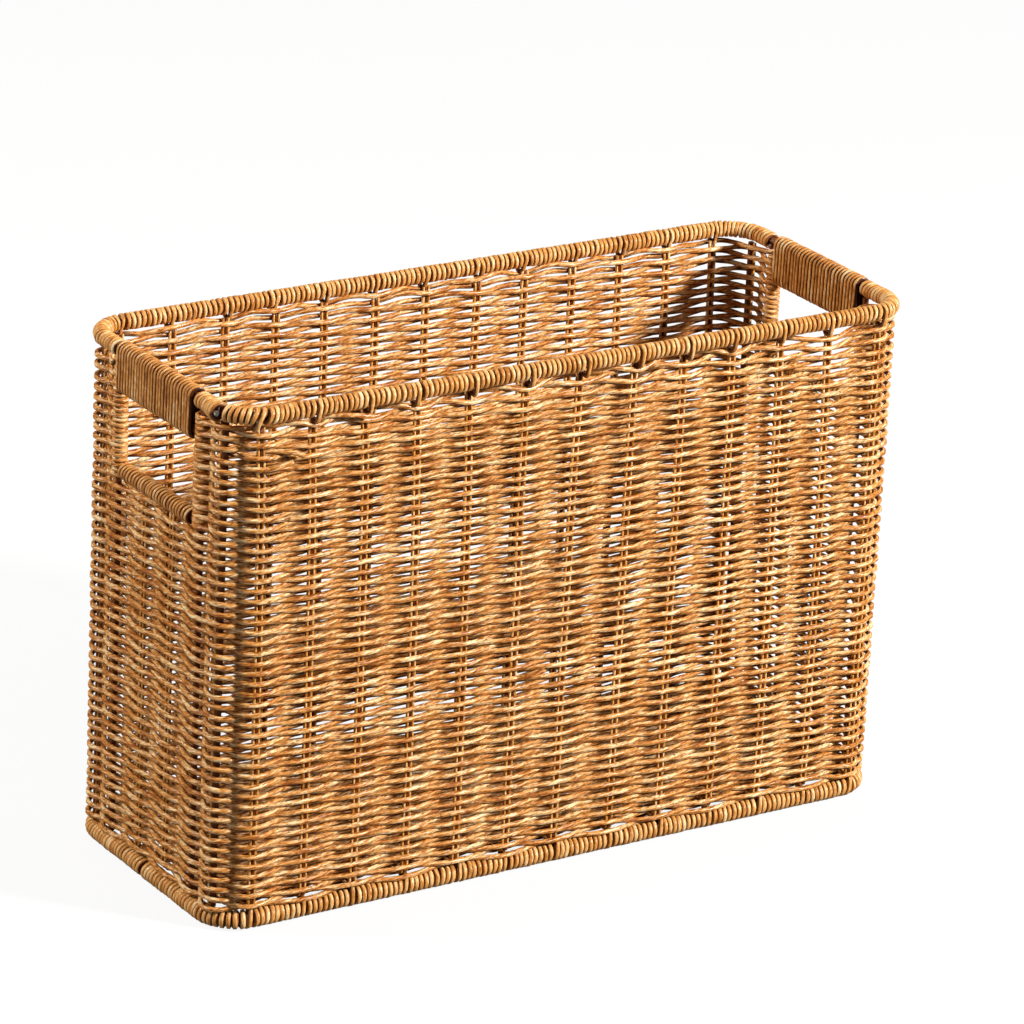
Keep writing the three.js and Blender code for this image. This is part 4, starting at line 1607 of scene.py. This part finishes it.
@dataclass
class BarWinding:
    """A strand wound along Y round a bar, or round two with one above the other."""

    name: str
    x: float
    low_z: float
    high_z: float
    half_length: float
    turns: int
    outer_radius: float
    nodes: list[str]
    strand_radius: float = 1.2 * MM
    arc_samples: int = 12
    side_step: float = 3 * MM
    pitch_drift: float = 0.07
    radius_drift: float = 0.06
    lean_drift: float = 0.16 * MM
    lift_drift: float = 0.12 * MM

    THICK_RANGE = (-1.5, 0.6)
    LIFT_RANGE = (-1.2, 0.2)

    def _section(self) -> tuple[np.ndarray, np.ndarray]:
        """One turn, from below.

        Returns:
            Its outward and upward places, and the directions that they face.
        """
        reach = self.outer_radius - self.strand_radius
        lower = np.linspace(-QUARTER_TURN, 0, self.arc_samples // 2 + 1)
        upper = -lower[::-1]
        rise = round((self.high_z - self.low_z) / self.side_step)
        level = np.linspace(self.low_z, self.high_z, rise + 1)[1:-1] if rise > 1 else np.array([])
        upper = upper if rise > 1 else upper[1:]
        angle = np.concatenate([lower, np.zeros(len(level)), upper])
        base = np.concatenate([np.full(len(lower), self.low_z), level, np.full(len(upper), self.high_z)])
        faces = np.stack([np.cos(angle), np.sin(angle)], -1)
        right = faces * reach + np.stack([np.zeros(len(base)), base], -1)
        mirror = (-1, 1)
        places = np.concatenate([right[:-1], right[::-1][:-1] * mirror])
        return places, np.concatenate([faces[:-1], faces[::-1][:-1] * mirror])

    def strand(self, rng: np.random.Generator) -> Strand:
        """The winding from one end of the bar to the other.

        Args:
            rng: Where its unevenness comes from.

        Returns:
            The strand.
        """
        section, faces = self._section()
        count = len(section)
        usable = self.half_length - self.strand_radius
        marks = (uneven_shares(self.turns, self.pitch_drift, rng) * 2 - 1) * usable
        turn = np.arange(self.turns * count + 1) / count
        place = section[np.arange(len(turn)) % count]
        face = faces[np.arange(len(turn)) % count]
        lean, lift, thick = (turn_drift(turn, self.turns, rng) for _ in range(3))
        y = np.interp(turn, np.arange(self.turns + 1), marks) + self.lean_drift * lean * face[:, 1]
        place = place + face * (self.lift_drift * np.clip(lift, *self.LIFT_RANGE))[:, None]
        radius = self.strand_radius * (1 + self.radius_drift * np.clip(thick, *self.THICK_RANGE))
        points = np.stack([self.x + place[:, 0], y, place[:, 1]], -1)
        # The seen directions drive the painted shade: the sides of each turn that face the bar and the
        # neighbouring turns get it.
        seen = np.stack([face[:, 0], np.zeros(len(y)), face[:, 1]], -1)
        return Strand(points, radius, np.array([0.0, 1.0, 0.0]), seen)

    def build(self, maker: Maker) -> None:
        """Makes the winding."""
        maker.make(self.name, [self.strand(maker.rng)], self.nodes)


# Bottom


@dataclass
class BottomRows:
    """One strand that goes back and forth along the bottom, round the cross stakes."""

    plan: BasketPlan
    material: bpy.types.Material
    rng: np.random.Generator
    samples: int = 6
    edge_samples: int = 5
    turn_samples: int = 6
    turn_reach: float = 0.6
    edge_gap: float = 1.2 * MM
    stake_clear: float = 3.0 * MM
    foot_clear: float = 8.5 * MM
    drift: float = 0.15 * MM
    drift_length: float = 100 * MM
    drift_width: float = 40 * MM
    pieces: int = 2

    def _half_length(self, y: float) -> float:
        """How far a row may run from the middle.

        Args:
            y: Its place across the width.

        Returns:
            The distance, short of the corners and of the end stakes' feet.
        """
        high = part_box("bottom_weave")[1]
        half_x = float(high.x) - self.plan.row_radius - self.edge_gap
        half_y = float(high.y)
        radius = self.plan.corner_radius - self.plan.ring_radius
        past = abs(y) - (half_y - radius)
        reach = half_x if past <= 0 else half_x - radius + math.sqrt(max(radius**2 - past**2, 0))
        for side in Side:
            foot_low, foot_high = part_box(f"left_{side.word}_end_stake")
            if foot_low.y - self.stake_clear < y < foot_high.y + self.stake_clear:
                reach = min(reach, half_x - self.foot_clear)
        return reach

    def _stakes(self) -> np.ndarray:
        """The cross stakes' places along X, from the left."""
        names = [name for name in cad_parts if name.startswith("cross_stake_")]
        return np.array(sorted(float(StakePlaces.middle(name).x) for name in names))

    def _points(self) -> np.ndarray:
        """The strand's places, row by row and turn by turn.

        Returns:
            One row of X, Y and Z for each.
        """
        half_width = float(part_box("bottom_weave")[1].y) - self.plan.row_radius
        rows = math.floor(2 * half_width / self.plan.row_pitch) + 1
        pitch = 2 * half_width / (rows - 1)
        stakes = self._stakes()
        spacing = stakes[1] - stakes[0]
        level = float(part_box("cross_stake_1")[0].z) + self.plan.stake_radius
        reach = self.plan.stake_radius + self.plan.row_radius
        drift = Drift(self.rng, self.drift_length, self.drift_width)
        lines = []
        towards = 1
        for row in range(rows):
            y = row * pitch - half_width
            half = self._half_length(y)
            inner = min(half, stakes[-1] + spacing / 2)
            x = np.linspace(-inner, inner, (len(stakes) - 1) * self.samples + self.edge_samples) * towards
            z = level + reach * np.cos(math.pi * ((x - stakes[0]) / spacing + row))
            lines.append(np.stack([x, y + self.drift * drift(x, y), z], -1))
            if row < rows - 1:
                centre = (half + min(self._half_length(y + pitch), inner)) / 2
                angle = np.linspace(-QUARTER_TURN, QUARTER_TURN, self.turn_samples + 1)
                swell = pitch / 2
                turn_x = (centre + swell * np.cos(angle) * self.turn_reach) * towards
                turn_y = y + swell + swell * np.sin(angle)
                next_phase = (centre * towards - stakes[0]) / spacing + row + 1
                next_z = level + reach * math.cos(math.pi * next_phase)
                turn_z = z[-1] + (next_z - z[-1]) * (np.sin(angle) + 1) / 2
                lines.append(np.stack([turn_x, turn_y, turn_z], -1)[1:-1])
            towards = -towards
        return np.concatenate(lines)

    def build(self) -> None:
        """Makes the rows, cut into pieces."""
        maker = Maker(self.material, Slot.WEAVE, self.rng)
        points = self._points()
        up = np.array(UP)
        cuts = np.linspace(0, len(points) - 1, self.pieces + 1).astype(int)
        for piece, (first, last) in enumerate(zip(cuts[:-1], cuts[1:], strict=True)):
            strand = Strand(points[first : last + 1], self.plan.row_radius, up, up, Clean.BROAD)
            maker.make(f"bottom_rows_{piece + 1}", [strand], ["bottom_weave"])


# Wires


@dataclass
class WireFrame:
    """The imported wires, which keep their shape and get their finish here, and a cut wire end."""

    coated: bpy.types.Material
    cut: bpy.types.Material
    end_radius: float = 1.3 * MM
    end_length: float = 8 * MM
    end_bevel: float = 0.3 * MM
    end_sides: int = 20
    end_tip: tuple[float, float, float] = (-189.3 * MM, -59.4 * MM, 255.3 * MM)
    end_direction: tuple[float, float, float] = (-0.25, -1.0, 0.15)

    WORDS = ("_wire", "_post", "_bar")

    def dress(self) -> None:
        """Gives every carried-over solid its material."""
        for name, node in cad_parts.items():
            if name.endswith(self.WORDS):
                node.data.materials.clear()
                node.data.materials.append(self.coated)
                log.info("%s: dressed", name)

    def add_end(self) -> None:
        """Makes the cut end of a wire that shows in a gap of the rim's winding."""
        tip = Vector(self.end_tip)
        facing = Vector(self.end_direction).normalized().to_track_quat("Z", "Y")
        rings = (
            (0.0, self.end_radius - self.end_bevel),
            (-self.end_bevel, self.end_radius),
            (-self.end_length, self.end_radius),
        )
        vertices = [tip]
        for depth, radius in rings:
            for side in range(self.end_sides):
                angle = side * FULL_TURN / self.end_sides
                local = Vector((radius * math.cos(angle), radius * math.sin(angle), depth))
                vertices.append(tip + facing @ local)
        vertices.append(tip + facing @ Vector((0, 0, -self.end_length)))
        starts = [1 + ring * self.end_sides for ring in range(len(rings))]
        faces = []
        for side in range(self.end_sides):
            following = (side + 1) % self.end_sides
            faces.append((0, 1 + side, 1 + following))
            for here, there in zip(starts, starts[1:], strict=False):
                faces.append((here + side, there + side, there + following, here + following))
            faces.append((starts[-1] + following, starts[-1] + side, len(vertices) - 1))
        mesh = bpy.data.meshes.new("cut_wire_end")
        mesh.from_pydata([tuple(v) for v in vertices], [], faces)
        mesh.materials.append(self.cut)
        mesh.update()
        settle(linked("cut_wire_end", mesh), [])


# Studio


@dataclass(frozen=True)
class Camera:
    """The photograph's viewpoint, without shift."""

    azimuth: float = math.radians(-33.26)
    elevation: float = math.radians(20.96)
    roll: float = math.radians(2.76)
    distance: float = 2662.39 * MM
    right_shift: float = 9.81 * MM
    up_shift: float = 24.08 * MM
    sensor: float = 36.0
    lens: float = 193.88
    target_share: float = 0.5
    reach: float = 20.0

    def build(self, height: float) -> None:
        """Makes the camera and the scene's camera setting.

        Args:
            height: The basket's height.
        """
        back = Vector(
            (
                math.sin(self.azimuth) * math.cos(self.elevation),
                -math.cos(self.azimuth) * math.cos(self.elevation),
                math.sin(self.elevation),
            )
        )
        level = Vector(UP).cross(back).normalized()
        upright = back.cross(level)
        right = math.cos(self.roll) * level + math.sin(self.roll) * upright
        up = math.cos(self.roll) * upright - math.sin(self.roll) * level
        place = Vector((0, 0, height * self.target_share)) + back * self.distance
        place += right * self.right_shift + up * self.up_shift
        data = bpy.data.cameras.new("camera")
        data.sensor_width = self.sensor
        data.lens = self.lens
        data.clip_end = self.reach
        camera = linked("camera", data)
        camera.matrix_world = Matrix.Translation(place) @ Matrix((right, up, back)).transposed().to_4x4()
        bpy.context.scene.camera = camera


@dataclass(frozen=True)
class Lamp:
    """An area lamp aimed at the basket."""

    name: str
    place: tuple[float, float, float]
    size: float
    power: float
    tint: tuple[float, float, float] = (1.0, 1.0, 1.0)

    def build(self, target: Vector) -> None:
        """Makes the lamp.

        Args:
            target: Where it points.
        """
        data = bpy.data.lights.new(self.name, "AREA")
        data.shape = "DISK"
        data.size = self.size
        data.energy = self.power
        data.color = self.tint
        lamp = linked(self.name, data)
        lamp.location = Vector(self.place)
        lamp.rotation_euler = (lamp.location - target).to_track_quat("Z", "Y").to_euler()


@dataclass(frozen=True)
class Studio:
    """A white floor and surroundings under soft lamps."""

    floor_half: float = 6.0
    floor_drop: float = 0.2 * MM
    surround: float = 0.10
    floor_white: float = 0.9
    floor_bounce: float = 0.16
    floor_lift: float = 0.9
    lamps: tuple[Lamp, ...] = (
        Lamp("key", (1.8, -2.25, 1.75), 0.45, 192.0, (1.0, 0.98, 0.95)),
        Lamp("left", (-1.6, 0.9, 1.5), 0.2, 34.0, (1.0, 0.94, 0.86)),
        Lamp("low_left", (-1.9, 0.1, 0.25), 0.3, 5.0),
        Lamp("top", (0.1, 0.3, 2.6), 1.0, 12.0),
    )

    @staticmethod
    def _grey(level: float) -> tuple[float, float, float, float]:
        """A grey of this level, and white at 1."""
        return (level, level, level, 1.0)

    def _see_white(self, bench: Bench) -> Signal:
        """Which rays show the background itself.

        Args:
            bench: The tree that asks.

        Returns:
            1 for those rays, and 0 for rays that carry its light.
        """
        rays = ("Is Camera Ray", "Is Transmission Ray")
        seen = [bench.add("ShaderNodeLightPath", {}, {}, ray) for ray in rays]
        return bench.add("ShaderNodeMath", {"operation": "MAXIMUM"}, {0: seen[0], 1: seen[1]})

    def _world(self) -> None:
        """A white world to look at that lights the basket more softly."""
        world = bpy.data.worlds.new("surround")
        bench = Bench(world)
        white = self._grey(1.0)
        shown = bench.add("ShaderNodeBackground", {}, {"Color": white, "Strength": 1.0})
        light = bench.add("ShaderNodeBackground", {}, {"Color": white, "Strength": self.surround})
        mixed = bench.add("ShaderNodeMixShader", {}, {0: self._see_white(bench), 1: light, 2: shown})
        bench.add("ShaderNodeOutputWorld", {}, {"Surface": mixed})
        bpy.context.scene.world = world

    def _floor(self) -> None:
        """A white floor that keeps a soft shadow."""
        half = self.floor_half
        mesh = bpy.data.meshes.new("floor")
        corners = [(-half, -half), (half, -half), (half, half), (-half, half)]
        mesh.from_pydata([(x, y, -self.floor_drop) for x, y in corners], [], [(0, 1, 2, 3)])
        bench = Bench(bpy.data.materials.new("white_floor"))
        plain = bench.add("ShaderNodeBsdfDiffuse", {}, {"Color": self._grey(self.floor_white)})
        unseen = bench.add("ShaderNodeBsdfDiffuse", {}, {"Color": self._grey(self.floor_bounce)})
        glow = bench.add("ShaderNodeEmission", {}, {"Color": self._grey(1.0), "Strength": 1.0})
        shown = bench.add("ShaderNodeMixShader", {}, {0: self.floor_lift, 1: plain, 2: glow})
        mixed = bench.add("ShaderNodeMixShader", {}, {0: self._see_white(bench), 1: unseen, 2: shown})
        bench.add("ShaderNodeOutputMaterial", {}, {"Surface": mixed})
        mesh.materials.append(bench.owner)
        floor = linked("floor", mesh)

    def build(self, height: float) -> None:
        """Makes the surroundings, the floor, the lamps and the plain view settings.

        Args:
            height: The basket's height.
        """
        bpy.context.scene.view_settings.view_transform = "Standard"
        self._world()
        self._floor()
        for lamp in self.lamps:
            lamp.build(Vector((0, 0, height / 2)))


# Assembly


@dataclass
class Windings:
    """All the wound strands of the rim, the base, the grips and the sills."""

    plan: BasketPlan
    material: bpy.types.Material
    bound: bpy.types.Material
    rng: np.random.Generator
    rim_pitch: float = 2.70 * MM
    base_pitch: float = 2.80 * MM
    tie_offset: float = -0.7 * MM
    base_tie_rise: float = 2.4 * MM
    grip_turns: int = 27
    sill_turns: int = 25
    grip_radius: float = 4.5 * MM
    sill_radius: float = 4.3 * MM
    bar_ribbed: float = 0.35
    grip_inset: float = 0.9 * MM
    start_gap: float = 0.9 * MM
    wire_gap_walk: float = -191.4 * MM
    wire_gap: float = 2.4 * MM
    wire_swell: float = 2.7 * MM
    rim_drop: float = 0.4 * MM
    base_radius: float = 4.8 * MM
    base_strand_radius: float = 1.38 * MM

    RIM_SKEWS = (
        Skew(-172 * MM, spread=6 * MM, lean=1.5 * MM, parting=0.9 * MM),
        Skew(181 * MM, spread=10 * MM, lean=0.4 * MM),
    )
    BASE_SKEWS = (
        Skew(-176 * MM, spread=9 * MM, lean=-0.7 * MM, parting=0.8 * MM),
        Skew(-160 * MM, spread=6 * MM, lean=0.5 * MM),
    )

    def tie_walks(self, uprights: StakePlaces, share: float) -> dict[Side, list[float]]:
        """Where the ties go: beside each stake of the two long sides.

        Args:
            uprights: The places of the stakes.
            share: How much of their lean they have reached.

        Returns:
            For each side, how far along X from the middle they are.
        """
        walks = uprights.walks + uprights.lean * share + self.tie_offset
        split, middle = uprights.split, uprights.BACK_MIDDLE
        front = [*walks[: split + 1], *(walks[-split:] - self.plan.wall.length)]
        back = walks[middle - split : middle + split + 1] - self.plan.wall.length / 2
        return {Side.FRONT: front, Side.BACK: list(back)}

    def _rim(self, uprights: StakePlaces, maker: Maker) -> None:
        """Winds the rim, from grip to grip on each long side.

        Args:
            uprights: The places of the stakes.
            maker: What makes the windings.
        """
        rim = self.plan.rim
        reach = rim.walk_to_end(float(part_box("left_grip_wrap")[1].y) + self.start_gap)
        skews = [Skew(self.wire_gap_walk, parting=self.wire_gap, swell=self.wire_swell), *self.RIM_SKEWS]
        ties = self.tie_walks(uprights, 1.0)
        for side in Side:
            middle = 0.0 if side is Side.FRONT else rim.length / 2
            RingWinding(
                f"{side.word}_rim_winding",
                loop=rim,
                z=self.plan.rim_z - self.rim_drop,
                towards=-1.0,
                pitch=self.rim_pitch,
                start=middle - reach,
                end=middle + reach,
                ties=[middle + walk for walk in ties[side]],
                skews=skews,
                nodes=[f"{side.word}_rim_wrap"],
            ).build(maker)

    def _base(self, uprights: StakePlaces, maker: Maker) -> None:
        """Winds the base, once round.

        Args:
            uprights: The places of the stakes.
            maker: What makes the winding.
        """
        base = self.plan.base
        ties = self.tie_walks(uprights, 0.0)
        RingWinding(
            "base_winding",
            loop=base,
            z=self.plan.base_z,
            towards=1.0,
            pitch=self.base_pitch,
            start=-base.length / 4,
            end=base.length * 3 / 4 - self.base_pitch,
            ties=[*ties[Side.FRONT], *(walk + base.length / 2 for walk in ties[Side.BACK])],
            skews=list(self.BASE_SKEWS),
            nodes=[f"{side.word}_base_wrap" for side in Side],
            tie_drop=self.base_tie_rise,
            outer_radius=self.base_radius,
            strand_radius=self.base_strand_radius,
        ).build(maker)

    def _bar(self, end: End, word: str, turns: int, radius: float, inset: float, top: float) -> BarWinding:
        """The winding of one bar.

        Args:
            end: The bar's short end.
            word: grip or sill.
            turns: How many turns it has.
            radius: Its outer radius.
            inset: How far it stops short of its solid's ends.
            top: The height of the upper of the two wires in it, or 0 where it has one.

        Returns:
            The winding.
        """
        bar = StakePlaces.middle(f"{end.word}_{word}_bar")
        node = f"{end.word}_{word}_wrap"
        low_z = float(bar.z)
        half_length = float(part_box(node)[1].y) - inset
        name = f"{end.word}_{word}_winding"
        return BarWinding(name, float(bar.x), low_z, max(top, low_z), half_length, turns, radius, [node])

    def build(self, uprights: StakePlaces) -> None:
        """Makes the windings.

        Args:
            uprights: The places of the stakes.
        """
        rings = Maker(self.material, Slot.WRAP, self.rng)
        self._rim(uprights, rings)
        self._base(uprights, rings)
        bars = Maker(self.bound, Slot.WRAP, self.rng, self.bar_ribbed)
        rim_z = self.plan.rim_z
        for end in End:
            self._bar(end, "grip", self.grip_turns, self.grip_radius, self.grip_inset, rim_z).build(bars)
            self._bar(end, "sill", self.sill_turns, self.sill_radius, 0.0, 0.0).build(bars)


def main() -> None:
    """Builds the basket, its finishes and the studio."""
    logging.basicConfig(level=logging.INFO, format="%(message)s")
    low, high = CAD_BOUNDS
    plan = BasketPlan(high.x - low.x, high.y - low.y, high.z - low.z)
    Camera().build(plan.height)
    Studio().build(plan.height)
    # The first colour of each finish is the dark colour of its painted shade on sides that face away.
    woven = StrandFinish("woven_strand", "2e0b01", "97501a", "db9446", "fee2ae", "5e2708", groove_to=0.44)
    wound = StrandFinish(
        "wound_strand", "561f06", "a8641f", "e3a359", "fee2ae", "7a4014",
        fleck_from=0.66, fleck_share=0.4, fibre_length=10 * MM, fibre_width=2.2 * MM, fine_width=1.3 * MM,
        low_shade=0.36, high_shade=0.66, groove_from=0.0, groove_to=0.9, groove_share=0.92,
    )
    bound = replace(
        wound, name="bound_strand", stain="3a1203", dark="92501b", body="d8944a", light="fee0ac",
        fleck="6a300c", high_shade=0.68, groove_from=0.35, groove_to=1.0, groove_share=0.95,
    )
    stake = StrandFinish("stake_strand", "3c1103", "a8621e", "dc9a46", "f8d69a", "6a300c", groove_to=0.42)
    # The very dark middle strand of each stake paints the shade in the gap between the pair.
    core = StrandFinish("core_strand", "220701", "441804", "5e280a", "7c3c12", "2c0e02", groove_to=0.42)
    weave, wrap, tight, upright, dark = (finish.material() for finish in (woven, wound, bound, stake, core))
    uprights = StakePlaces.from_frame(plan)
    rng = np.random.default_rng(SEED)
    WallRows(plan, uprights, weave, rng).build()
    LooseEnds(plan, weave, rng).build()
    Stakes(plan, uprights, upright, dark, rng).build()
    Windings(plan, wrap, tight, rng).build(uprights)
    BottomRows(plan, weave, rng).build()
    wires = WireFrame(WireFinish().material(), SteelFinish().material())
    wires.dress()
    wires.add_end()


if __name__ == "__main__":
    main()
